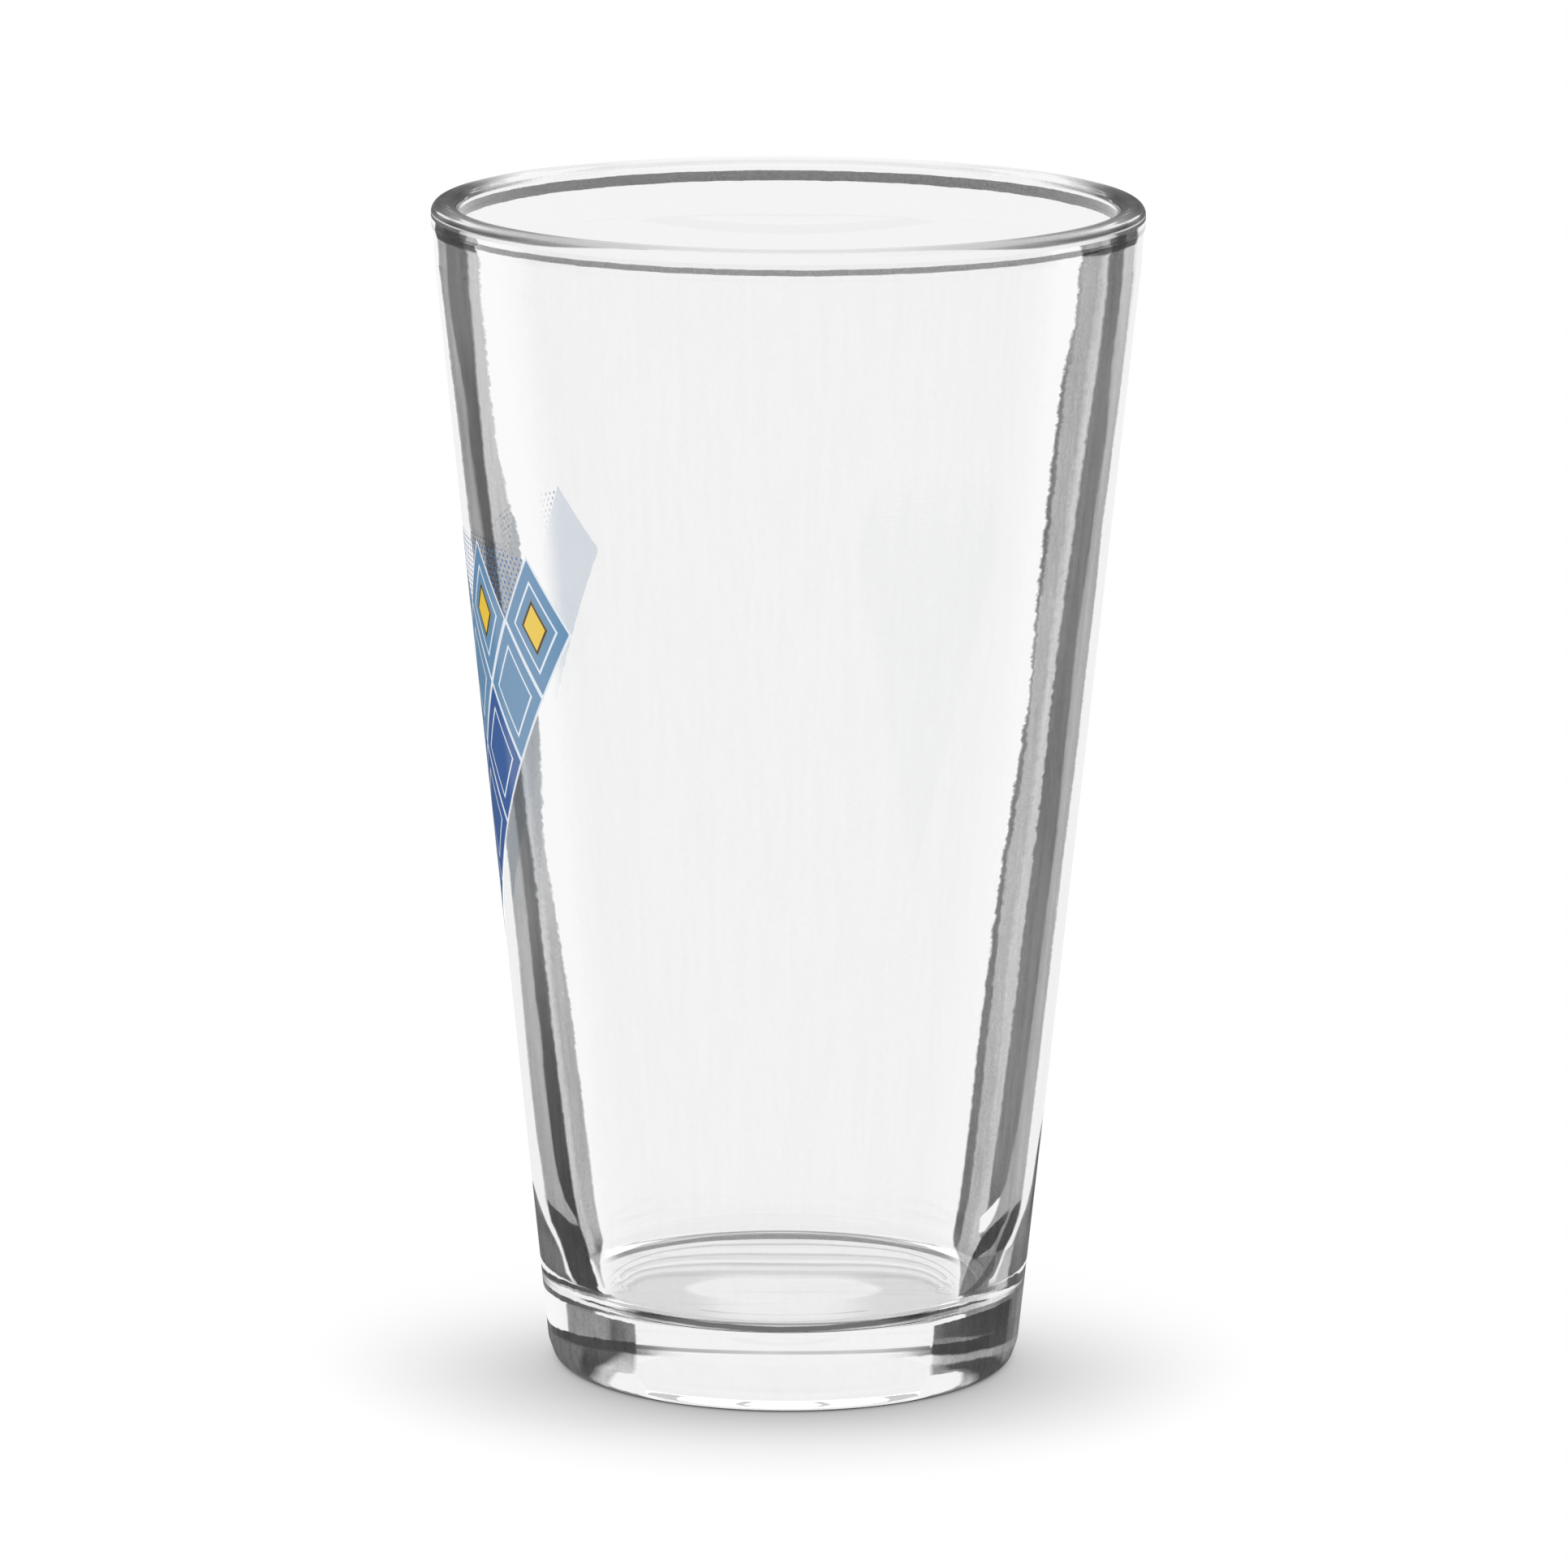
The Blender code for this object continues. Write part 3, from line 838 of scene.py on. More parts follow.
RIGHT_PAINTED_VIEW = PaintedSideView(
    upright=(
        Border((
            (13, 0.61, 0.955), (18, 0.62, 0.965), (30, 0.62, 0.968), (60, 0.64, 0.972),
            (110, 0.68, 0.975), (141, 0.7, 0.98),
        ), soft=0.06),
        Border((
            (13, 0.735, 0.9), (14, 0.735, 0.75), (16, 0.735, 0.72), (17.8, 0.728, 0.7),
            (18.3, 0.72, 0.66), (19.3, 0.71, 0.62), (20, 0.7, 0.5), (21, 0.694, 0.48),
            (22, 0.694, 0.45), (23, 0.697, 0.42), (24, 0.7, 0.42), (25, 0.703, 0.47),
            (30, 0.71, 0.47), (35, 0.715, 0.48), (45, 0.72, 0.5), (50, 0.725, 0.5),
            (60, 0.735, 0.5), (70, 0.748, 0.52), (80, 0.765, 0.52), (85, 0.775, 0.53),
            (90, 0.785, 0.55), (100, 0.78, 0.55), (110, 0.78, 0.5), (120, 0.785, 0.52),
            (130, 0.79, 0.52), (135, 0.808, 0.6), (141, 0.815, 0.66),
        )),
        Border((
            (13, 0.74, 0.75), (18, 0.735, 0.7), (19, 0.712, 0.7), (20, 0.715, 0.7),
            (21, 0.722, 0.7), (22, 0.725, 0.7), (24, 0.73, 0.7), (26, 0.74, 0.7),
            (30, 0.745, 0.69), (40, 0.75, 0.7), (50, 0.752, 0.72), (60, 0.757, 0.72),
            (70, 0.765, 0.72), (80, 0.785, 0.72), (85, 0.79, 0.72), (100, 0.79, 0.72),
            (110, 0.797, 0.7), (130, 0.805, 0.7), (141, 0.825, 0.7),
        )),
        Border((
            (13, 0.75, 0.75), (18, 0.765, 0.7), (20, 0.76, 0.75), (23, 0.775, 0.78),
            (26, 0.785, 0.79), (30, 0.79, 0.78), (40, 0.795, 0.78), (50, 0.8, 0.8),
            (60, 0.805, 0.8), (80, 0.83, 0.82), (100, 0.84, 0.82), (120, 0.86, 0.82),
            (141, 0.88, 0.82),
        ), soft=0.01),
        Border((
            (13, 0.735, 0.48), (14, 0.74, 0.49), (15, 0.745, 0.49), (16, 0.755, 0.49),
            (17.2, 0.765, 0.5), (17.5, 0.77, 0.6), (17.8, 0.775, 0.29), (18.3, 0.775, 0.29),
            (19, 0.79, 0.29), (20, 0.805, 0.3), (20.5, 0.8, 0.45), (20.8, 0.8, 0.7),
            (21, 0.8, 0.78), (23.2, 0.805, 0.78), (23.4, 0.812, 0.5), (24, 0.815, 0.48),
            (26, 0.817, 0.48), (30, 0.82, 0.52), (35, 0.828, 0.52), (40, 0.832, 0.53),
            (50, 0.84, 0.53), (60, 0.845, 0.52), (70, 0.853, 0.5), (80, 0.858, 0.48),
            (90, 0.86, 0.5), (100, 0.865, 0.52), (110, 0.875, 0.52), (120, 0.883, 0.52),
            (130, 0.895, 0.53), (141, 0.9, 0.5),
        )),
        Border((
            (13, 0.735, 0.49), (17.2, 0.765, 0.5), (17.8, 0.775, 0.29), (19, 0.79, 0.29),
            (20, 0.805, 0.3), (20.6, 0.8, 0.45), (20.9, 0.79, 0.96), (22, 0.79, 0.96),
            (23, 0.79, 0.96), (23.3, 0.805, 0.96), (24, 0.83, 0.96), (24.7, 0.853, 0.96),
            (24.9, 0.857, 0.48), (30, 0.857, 0.52), (60, 0.86, 0.52), (80, 0.87, 0.48),
            (120, 0.9, 0.52), (141, 0.91, 0.5),
        )),
        Border((
            (13, 0.735, 0.49), (17.2, 0.765, 0.5), (17.8, 0.775, 0.29), (19, 0.79, 0.29),
            (20, 0.805, 0.3), (20.6, 0.795, 0.6), (21, 0.815, 0.66), (22, 0.838, 0.66),
            (23, 0.85, 0.66), (24, 0.857, 0.66), (25, 0.862, 0.66), (26, 0.875, 0.67),
            (28, 0.885, 0.67), (30, 0.89, 0.67), (33, 0.9, 0.67), (35, 0.905, 0.68),
            (40, 0.91, 0.68), (50, 0.915, 0.68), (60, 0.92, 0.7), (70, 0.927, 0.7),
            (80, 0.925, 0.72), (95, 0.923, 0.72), (110, 0.935, 0.7), (120, 0.945, 0.72),
            (130, 0.94, 0.78), (141, 0.945, 0.85),
        )),
        Border((
            (13.2, 0.74, 0.4), (14, 0.79, 0.38), (15, 0.82, 0.38), (16, 0.84, 0.37),
            (17, 0.86, 0.37), (17.4, 0.86, 0.45), (17.8, 0.776, 0.29), (19, 0.79, 0.29),
            (20, 0.805, 0.29), (20.5, 0.815, 0.29), (21, 0.83, 0.3), (21.5, 0.85, 0.31),
            (22, 0.875, 0.35), (22.3, 0.885, 0.5), (22.6, 0.89, 0.66), (25, 0.89, 0.67),
            (30, 0.91, 0.67), (60, 0.925, 0.7), (141, 0.96, 0.85),
        ), soft=0.006),
        Border((
            (13.2, 0.8, 0.49), (14, 0.83, 0.49), (15, 0.86, 0.5), (16, 0.87, 0.5), (17, 0.88, 0.5),
            (17.5, 0.8, 0.55), (17.8, 0.8, 0.57), (18.3, 0.845, 0.57), (19, 0.86, 0.57),
            (20, 0.873, 0.57), (20.5, 0.88, 0.58), (21, 0.89, 0.58), (21.5, 0.895, 0.6),
            (22, 0.9, 0.62), (22.6, 0.9, 0.68), (25, 0.91, 0.72), (30, 0.915, 0.74),
            (40, 0.925, 0.74), (60, 0.935, 0.74), (80, 0.94, 0.76), (110, 0.945, 0.76),
            (141, 0.96, 0.88),
        )),
        Border((
            (13, 0.86, 0.49), (17.3, 0.865, 0.5), (17.5, 0.865, 0.3), (18, 0.866, 0.3),
            (19, 0.878, 0.3), (20, 0.89, 0.3), (21, 0.9, 0.31), (22, 0.91, 0.32),
            (22.6, 0.925, 0.35), (23.2, 0.945, 0.72), (24, 0.948, 0.9), (141, 0.975, 0.93),
        )),
        Border((
            (13, 0.85, 0.5), (14, 0.85, 0.9), (14.3, 0.865, 0.94), (15, 0.875, 0.94),
            (16, 0.885, 0.94), (17, 0.895, 0.94), (17.5, 0.9, 0.94), (18, 0.91, 0.94),
            (19, 0.925, 0.94), (20, 0.935, 0.94), (21, 0.942, 0.94), (22, 0.945, 0.94),
            (24, 0.948, 0.94), (27, 0.952, 0.945), (30, 0.95, 0.945), (40, 0.955, 0.945),
            (60, 0.957, 0.945), (70, 0.96, 0.945), (80, 0.968, 0.95), (100, 0.968, 0.95),
            (110, 0.965, 0.95), (120, 0.975, 0.95), (141, 0.985, 0.95),
        )),
        Border((
            (13, 0.878, 0.74), (14, 0.877, 0.74), (15, 0.887, 0.74), (16, 0.897, 0.74),
            (17, 0.905, 0.72), (17.5, 0.93, 0.6), (18, 0.935, 0.56), (19, 0.945, 0.55),
            (20, 0.955, 0.58), (21, 0.968, 0.62), (22, 0.975, 0.7), (24, 0.985, 0.8),
            (28, 0.99, 0.85), (34, 1, 0.9), (45, 1, 0.93),
        )),
        Border((
            (13, 0.925, 0.42), (14, 0.925, 0.45), (15, 0.93, 0.45), (16, 0.93, 0.48),
            (17, 0.935, 0.5), (18, 0.94, 0.54), (20, 0.965, 0.55), (22, 0.985, 0.62), (24, 1, 0.8),
        )),
    ),
    level=(
        Border((
            (0.45, 0.7, 0.955), (0.7, 0.4, 0.955), (0.73, 0.35, 0.96), (0.745, 0.5, 0.96),
            (0.755, 0.8, 0.5), (0.8, 0.8, 0.42), (0.85, 0.9, 0.5), (0.878, 1, 0.62),
            (0.885, 1, 0.74), (0.92, 1.1, 0.74), (0.93, 1.05, 0.4), (0.96, 1.1, 0.35),
            (0.975, 1.5, 0.45), (1, 1.5, 0.5),
        ), soft=0.06),
        Border((
            (0.45, 1.7, 0.955), (0.7, 1.2, 0.9), (0.75, 1.2, 0.72), (0.8, 1.4, 0.85),
            (0.88, 1.7, 0.75), (0.9, 1.9, 0.7), (0.92, 2.1, 0.4), (0.96, 2.1, 0.35),
            (1, 2.2, 0.5),
        ), soft=0.06),
        Border((
            (0.45, 1.9, 0.955), (0.7, 1.9, 0.93), (0.8, 1.8, 0.8), (0.86, 1.9, 0.95),
            (0.92, 2.3, 0.95), (0.95, 2.5, 0.93), (0.975, 2.8, 0.6), (1, 2.9, 0.5),
        ), soft=0.05),
        Border((
            (0.45, 2.05, 0.955), (0.55, 2.15, 0.6), (0.62, 2.2, 0.5), (0.7, 2.1, 0.42),
            (0.78, 2.15, 0.38), (0.84, 2.4, 0.4), (0.865, 2.55, 0.9), (0.92, 2.7, 0.92),
            (0.97, 2.9, 0.8), (1, 3, 0.5),
        ), soft=0.05),
        Border((
            (0.45, 2.7, 0.955), (0.6, 2.65, 0.72), (0.7, 2.5, 0.66), (0.78, 2.5, 0.75),
            (0.86, 2.7, 0.88), (0.92, 2.9, 0.85), (0.96, 3.05, 0.5), (1, 3.2, 0.5),
        ), soft=0.05),
        Border((
            (0.45, 3.3, 0.955), (0.62, 3.25, 0.7), (0.7, 3.2, 0.6), (0.78, 3.25, 0.55),
            (0.86, 3.3, 0.55), (0.92, 3.4, 0.45), (0.97, 3.5, 0.45), (1, 3.6, 0.5),
        ), soft=0.05),
        Border((
            (0.45, 3.5, 0.955), (0.64, 3.55, 0.955), (0.7, 3.4, 0.955), (0.75, 3.4, 0.955),
            (0.765, 3.55, 0.95), (0.775, 3.6, 0.55), (0.85, 3.7, 0.6), (0.92, 3.8, 0.45),
            (0.96, 3.9, 0.45), (1, 4, 0.5),
        ), soft=0.05),
        Border((
            (0.45, 4, 0.955), (0.646, 4.05, 0.955), (0.652, 4.1, 0.45), (0.7, 4.05, 0.37),
            (0.75, 4, 0.33), (0.78, 4, 0.31), (0.85, 4, 0.29), (0.9, 4.05, 0.29),
            (0.945, 4.1, 0.29), (0.955, 4.2, 0.42), (0.975, 4.2, 0.5), (1, 4.2, 0.55),
        ), soft=0.05),
        Border((
            (0.45, 6, 0.955), (0.646, 5.9, 0.955), (0.652, 5.9, 0.52), (0.7, 6.1, 0.5),
            (0.75, 6.4, 0.52), (0.8, 6.85, 0.5), (0.85, 7.15, 0.36), (0.9, 7.3, 0.29),
            (0.945, 7.5, 0.3), (0.955, 7.5, 0.42), (1, 7.5, 0.55),
        ), soft=0.1),
        Border((
            (0.45, 6.9, 0.955), (0.55, 6.9, 0.8), (0.6, 7, 0.55), (0.645, 6.95, 0.5),
            (0.652, 6.6, 0.29), (0.7, 6.8, 0.28), (0.75, 7, 0.28), (0.8, 7.3, 0.28),
            (0.85, 7.4, 0.28), (0.9, 7.7, 0.29), (0.945, 8, 0.3), (0.955, 8, 0.42),
            (1, 8, 0.55),
        ), soft=0.08),
        Border((
            (0.45, 7.4, 0.955), (0.55, 7.6, 0.955), (0.6, 7.8, 0.955), (0.648, 7.95, 0.955),
            (0.66, 8.1, 0.8), (0.7, 8.35, 0.68), (0.75, 8.8, 0.64), (0.8, 9.05, 0.62),
            (0.85, 9.25, 0.62), (0.9, 9.6, 0.6), (0.94, 9.9, 0.55), (1, 10.6, 0.58),
        ), soft=0.15),
    ),
    last_level=Border((
        (0.45, 9.5, 0.955), (0.645, 9.4, 0.9), (0.655, 9.1, 0.8), (0.7, 9.6, 0.8),
        (0.75, 9.8, 0.6), (0.8, 10, 0.6), (0.85, 10.25, 0.6), (0.9, 10.7, 0.6), (0.95, 11.1, 0.6),
        (1, 11.8, 0.6),
    ), soft=0.15),
    foot=(
        Border((
            (0.1, 0.72, 0.5), (0.45, 0.72, 0.55), (0.55, 0.76, 0.7), (0.8, 0.79, 0.75),
            (1, 0.797, 0.7), (1.5, 0.8, 0.65), (2, 0.795, 0.6), (2.5, 0.785, 0.55),
            (3, 0.755, 0.5), (3.15, 0.7, 0.6), (3.3, 0.655, 0.62), (4, 0.653, 0.55),
            (4.6, 0.65, 0.6), (5, 0.65, 0.8),
        ), soft=0.01),
        Border((
            (0.3, 0.86, 0.32), (1, 0.855, 0.31), (1.5, 0.85, 0.31), (2, 0.83, 0.3), (3, 0.78, 0.3),
            (3.5, 0.72, 0.31), (4, 0.7, 0.33),
        ), soft=0.02),
        Border((
            (0.3, 0.985, 0.45), (1, 0.97, 0.45), (2, 0.945, 0.48), (3, 0.91, 0.5), (4, 0.87, 0.5),
        ), soft=0.012),
    ),
)


@dataclass(frozen=True)
class PaintedLight:
    """Painted light, drawn on a surface as emission, and how much of the surface it covers."""

    share: Signal
    light: Signal | float

    def under(self, graph: Graph, more: "PaintedLight") -> "PaintedLight":
        """Lay another drawing over this one.

        Args:
            graph: The node tree.
            more: The drawing on top.

        Returns:
            Both together.
        """
        covered = self.share + more.share - self.share * more.share
        light = graph.between(more.share / covered.at_least(0.001), self.light, more.light)
        return PaintedLight(covered, light)


@dataclass(frozen=True)
class ClearGlass:
    """Colourless pressed glass, with what it bends into view from beside the stage painted on it: painted
    shade in its colour and painted light as emission.

    Slants are from 0 in the middle of the glass to 1 at its edge. Places round the rim are from
    -1 at the back to 1 at the front, and those of the floor's rings from 0 at its back to 1 where
    the flat middle starts.
    """

    shape: Tumbler
    tint: float = 0.99                              # what a face lets through
    index: float = 1.56
    view_elevation: float = math.radians(11.6)      # how far from above the glass is seen
    neck_line: Point = (145.0 * MM, 145.85 * MM)    # foot and head of the groove under the bead
    crest_foot: float = 146.4 * MM                  # where the crest of the bead starts
    # inner_painted_shade: painted shade on the inside of the glass, seen straight over the rim
    inner_painted_shade: float = 0.085                       # kept back by the inside, seen over the rim
    gloss_seen: float = 0.2                         # share of the gloss that the side shows
    painted_line_light: float = 0.9                         # light of the thin line in the front of the base
    painted_punt_light: float = 0.67                        # light of the slope round the hollow
    flank: Point = (0.635, 0.645)                   # slants between which the base's flanks start
    painted_floor_rings: tuple[Point, ...] = (
        (-0.06, 0.0), (-0.02, 0.27), (0.02, 0.27), (0.05, 0.0), (0.28, 0.0), (0.31, 0.25),
        (0.36, 0.28), (0.39, 0.13), (0.50, 0.11), (0.53, 0.0), (0.61, 0.0), (0.65, 0.28),
        (0.70, 0.28), (0.74, 0.13), (0.80, 0.07), (0.86, 0.08), (0.89, 0.22), (0.97, 0.24),
        (1.04, 0.10), (1.12, 0.0),
    )
    painted_crest_view: tuple[Point, ...] = (
        (-1.0, 0.95), (-0.75, 0.95), (-0.62, 0.92), (-0.45, 0.72), (-0.35, 0.45), (-0.2, 0.30),
        (0.0, 0.27), (0.12, 0.33), (0.25, 0.48), (0.4, 0.60), (0.55, 0.68), (0.75, 0.74),
        (0.9, 0.80), (1.0, 0.86),
    )

    FIRST_RING = -0.3       # the rings are drawn from a little behind ring 0
    LAST_RING = 1.3         # to a little inside ring 1
    FLOOR_BACK = 18.0       # depth of the middle of ring 0, in millimetres
    RINGS_SPAN = 15.0       # how far in front of it the middle of ring 1 lies

    def material(self) -> bpy.types.Material:
        """Build the shader.

        Returns:
            The finish.
        """
        made = bpy.data.materials.new("clear_glass_finish")
        graph = Graph(made)
        x, y, z = graph.place()
        radius = (x * x + y * y).root()
        middle_foot, middle_growth = self.shape.wall_middle
        outside = (radius - (z * middle_growth + middle_foot)) > 0.0
        entering = 1.0 - graph.node("ShaderNodeNewGeometry").out("Backfacing")
        walled = outside * entering * (z < self.crest_foot)
        slant = self._slant(graph)
        ahead = graph.facing((x / radius, y / radius, 0.0))
        side = self._painted_side_shade(graph, x, z, slant)
        neck_shade = outside * self._painted_neck_shade(graph, z, entering, ahead)
        direct = graph.node("ShaderNodeLightPath").out("Is Camera Ray")
        # Painted shade: the glass's colour darkens where it would bend dark surroundings into view
        level = 1.0 - walled * (1.0 - side)
        level = level * (1.0 - neck_shade) * (1.0 - walled * self._painted_front_arc_shade(graph, slant, z))
        # Painted shade on the inside, only where it is seen straight over the rim
        level = level * (1.0 - direct * entering * (1.0 - outside) * self.inner_painted_shade)
        gloss = graph.mirrored(self.index) * self.gloss_seen
        light = (side * (CLEAREST - GLOSS) + GLOSS - gloss).at_least(0.0) * (1.0 - neck_shade)
        floor = self._painted_floor(graph, x, y, z, radius)
        crest = self._painted_crest(graph, x, y, z, radius, ahead)
        # Painted light, as emission: the flanks and bright bands of the side, the line in the base, the
        # slope round the hollow, the floor and the crest
        drawn = PaintedLight(walled * self._side_painted_light_share(side, slant, z), light)
        for more in (
            PaintedLight(self._painted_line_share(graph, slant, z) * walled, self.painted_line_light),
            PaintedLight(self._on_punt(z, radius), self.painted_punt_light),
            PaintedLight(floor.share * entering, floor.light),
            PaintedLight(crest.share * entering, crest.light),
        ):
            drawn = drawn.under(graph, more)
        level = level * (1.0 - drawn.share)
        shader = graph.node("ShaderNodeBsdfPrincipled", {}, {
            "Base Color": graph.blend(level * level, BLACK, (self.tint,) * 3),
            "Roughness": 0.0, "IOR": self.index, "Transmission Weight": 1.0,
            "Emission Color": graph.blend(drawn.light * drawn.share, BLACK, WHITE),
            "Emission Strength": 1.0,
        })
        graph.finish(shader.out("BSDF"))
        return made

    @staticmethod
    def _tilt(graph: Graph) -> Signal:
        """How far the surface looks up, from -1 to 1."""
        normal = graph.node("ShaderNodeNewGeometry").out("Normal")
        return graph.node("ShaderNodeSeparateXYZ", {}, {0: normal}).out("Z")

    def _slant(self, graph: Graph) -> Signal:
        """How far towards the edge of the glass a point appears, seen from slightly above.

        Args:
            graph: The node tree.

        Returns:
            The slant, from 0 to 1.
        """
        tilt = self._tilt(graph)
        level = (1.0 - tilt * tilt).root() * math.cos(self.view_elevation)
        across = (1.0 - graph.aslant() - tilt * math.sin(self.view_elevation)) / level
        return (1.0 - across * across).root()

    def _painted_side_shade(self, graph: Graph, x: Signal, z: Signal, slant: Signal) -> Signal:
        """Painted shade of the outside of the glass: what it lets in of what it would bend into view.

        Args:
            graph: The node tree.
            x: Place across.
            z: Height.
            slant: How far towards the edge a point appears.

        Returns:
            Share of the light that passes.
        """
        height = z / MM
        ragged = graph.noise((300.0, 300.0, 900.0), 4.0, 0.7) - 0.5
        streak = graph.noise((900.0, 900.0, 10.0), 3.0, 0.6) - 0.5
        mottle = graph.noise((420.0, 420.0, 300.0), 4.0, 0.65) - 0.5
        # Upright borders wander, more so high up and less so near the edge; level ones do low down.
        rough = (height.step(20.0, 70.0) * 0.026 + 0.006) * (1.0 - slant.step(0.84, 0.93) * 0.75)
        slant = (slant + ragged * rough + streak * 0.006).at_most(0.995)
        uneven = height + mottle * height.step(20.0, 12.0, smooth=False) * 0.5
        # The two halves of the glass meet where both are plain.
        middle = 0.5 * self.shape.foot_radius
        level = graph.between(x.step(-middle, middle), LEFT_PAINTED_VIEW.of(graph, slant, uneven),
                              RIGHT_PAINTED_VIEW.of(graph, slant, uneven))
        # Painted streaks and speckle show where the painted side shade is dark, and painted blotches in the
        # base.
        low = 1.0 - height.step(8.0, 26.0)
        dark = 1.0 - level
        return level * (1.0 + dark * (streak * 0.9 + graph.grain() * 0.7 + mottle * low * 1.2))

    def _side_painted_light_share(self, side: Signal, slant: Signal, z: Signal) -> Signal:
        """Where the side shows only painted light, as emission: the base's flanks, and bright bands above
        them.

        Args:
            side: What the side lets in.
            slant: How far towards the edge a point appears.
            z: Height.

        Returns:
            1 there, otherwise 0.
        """
        height = z / MM
        reach = slant - height.step(9.6, 10.4) * 0.1  # the flanks narrow above the floor
        low = reach.step(*self.flank) * (1.0 - height.step(13.0, 20.0))
        bright = side.step(0.8, 0.9) * slant.step(0.68, 0.76)
        return low.at_least(bright)

    def _painted_line_share(self, graph: Graph, slant: Signal, z: Signal) -> Signal:
        """Painted light, as emission, on the thin line in the front of the base.

        Args:
            graph: The node tree.
            slant: How far towards the edge a point appears.
            z: Height.

        Returns:
            The share of the line that is painted light.
        """
        height = z / MM
        near = height.step(6.0, 6.6) * (1.0 - height.step(8.6, 9.2)) * (1.0 - slant.step(*self.flank))
        uneven = graph.noise((90.0, 90.0, 1.0), 2.0) - 0.5
        return near * (0.72 - slant * slant * 1.3 + uneven * 0.5).at_least(0.1).at_most(0.85)

    def _on_punt(self, z: Signal, radius: Signal) -> Signal:
        """Where the slope round the hollow under the base and the ring that stands are, which glow with
        painted light.

        Args:
            z: Height.
            radius: Distance from the axis.

        Returns:
            1 there, otherwise 0.
        """
        inner = self.shape.punt_radius - self.shape.punt_slope - 0.4 * MM
        outer = self.shape.foot_radius - 1.8 * MM
        return (z < self.shape.punt_depth + 0.3 * MM) * (radius > inner) * (radius < outer)

    @staticmethod
    def _painted_front_arc_shade(graph: Graph, slant: Signal, z: Signal) -> Signal:
        """Painted shade where the front of the floor curls up, seen through the base.

        Args:
            graph: The node tree.
            slant: How far towards the edge a point appears.
            z: Height.

        Returns:
            The share that is kept back.
        """
        ragged = graph.noise((250.0, 250.0, 250.0), 4.0, 0.7) - 0.5
        height = z / MM - slant * 1.2 + ragged * 0.3
        within = height.step(10.42, 10.62) * (1.0 - height.step(11.15, 11.35))
        return within * (1.0 - slant.step(0.58, 0.70)) * 0.75

    def _painted_neck_shade(self, graph: Graph, z: Signal, entering: Signal, ahead: Signal) -> Signal:
        """Painted shade of the groove under the bead; it looks taller from inside the glass.

        Args:
            graph: The node tree.
            z: Height.
            entering: 1 where light goes into the glass, 0 where it comes out.
            ahead: How squarely this side of the glass is seen.

        Returns:
            The share that is kept back.
        """
        ragged = graph.noise((200.0, 200.0, 200.0), 4.0, 0.7) - 0.5
        leaving = 1.0 - entering
        low, high = self.neck_line
        height = z + ragged * 0.35 * MM
        low = low - leaving * (1.15 - 0.85 * ahead) * MM
        high = high + leaving * 0.3 * MM
        within = (height - low).step(0.0, 0.1 * MM) * (1.0 - (height - high).step(-0.1 * MM, 0.0))
        patchy = leaving * 0.5 * (1.0 - ahead.step(0.36, 0.42)) \
            + entering * 0.6 * (1.0 - ahead.step(0.38, 0.55))
        return within * (0.64 + leaving * 0.20 + graph.grain() * 0.2) * (1.0 - patchy)

    def _painted_crest(self, graph: Graph, x: Signal, y: Signal, z: Signal, radius: Signal,
               ahead: Signal) -> PaintedLight:
        """Painted light of what the crest of the bead bends into view, as emission: bright at the back, dark
        at both ends.

        Args:
            graph: The node tree.
            x: Place across.
            y: Place in depth.
            z: Height.
            radius: Distance from the axis.
            ahead: How squarely this side of the rim is seen.

        Returns:
            The painted light, on the crest.
        """
        # An arrow that leans out tells the front of the rim from its back.
        half = math.sqrt(0.5)
        leaning = graph.facing((x / radius * half, y / radius * half, half)) / half
        near = ((leaning > ahead) * 2.0 - 1.0) * ahead / math.cos(self.view_elevation)
        aside = 1.0 - near.size().step(0.45, 0.95) * 0.8
        tilt = self._tilt(graph)
        outer = radius > (self.shape.mouth_radius - 0.5 * self.shape.bead_thickness)
        start = 0.1 + near.step(0.7, 0.97) * 0.7
        covers = (z > self.crest_foot - 0.4 * MM) * (tilt - start).step(-0.08, 0.08)
        # Painted streaks run along the rim.
        where = graph.node("ShaderNodeCombineXYZ", {}, {
            "X": near * 4.0, "Y": radius * 1900.0, "Z": z * 1900.0})
        streak = graph.node("ShaderNodeTexNoise", {}, {
            "Vector": where.out("Vector"), "Scale": 0.5, "Detail": 3.0, "Roughness": 0.6}).out("Fac")
        light = graph.curve((near + 1.0) * 0.5, [
            ((place + 1.0) / 2.0, passed(bright)) for place, bright in self.painted_crest_view])
        light = light * (1.0 + (streak - 0.55) * 3.2 * aside + graph.grain() * 0.5 * aside)
        # Painted shade low on the outside, painted gleams at both ends and a painted bright edge under them.
        painted_fold_shade = outer * tilt.step(0.12, 0.3) * (1.0 - tilt.step(0.5, 0.7))
        light = light * (1.0 - painted_fold_shade * near.step(0.15, 0.35) * (1.0 - near.step(0.75, 0.95)) * 0.38)
        painted_gleam = streak.step(0.58, 0.66) * (1.0 - near.size().step(0.25, 0.6)) * 0.6
        edge = outer * (1.0 - tilt.step(0.14, 0.22)) * near.step(-0.2, -0.05) * (1.0 - near.step(0.35, 0.55))
        light = graph.between(edge, light + painted_gleam, 0.85)
        lip = graph.mirrored(self.index).step(0.2, 1.0) * 0.75 * (1.0 - near.size().step(0.6, 0.95))
        return PaintedLight(covers, (light * (1.0 - lip)).at_least(0.0).at_most(0.92))

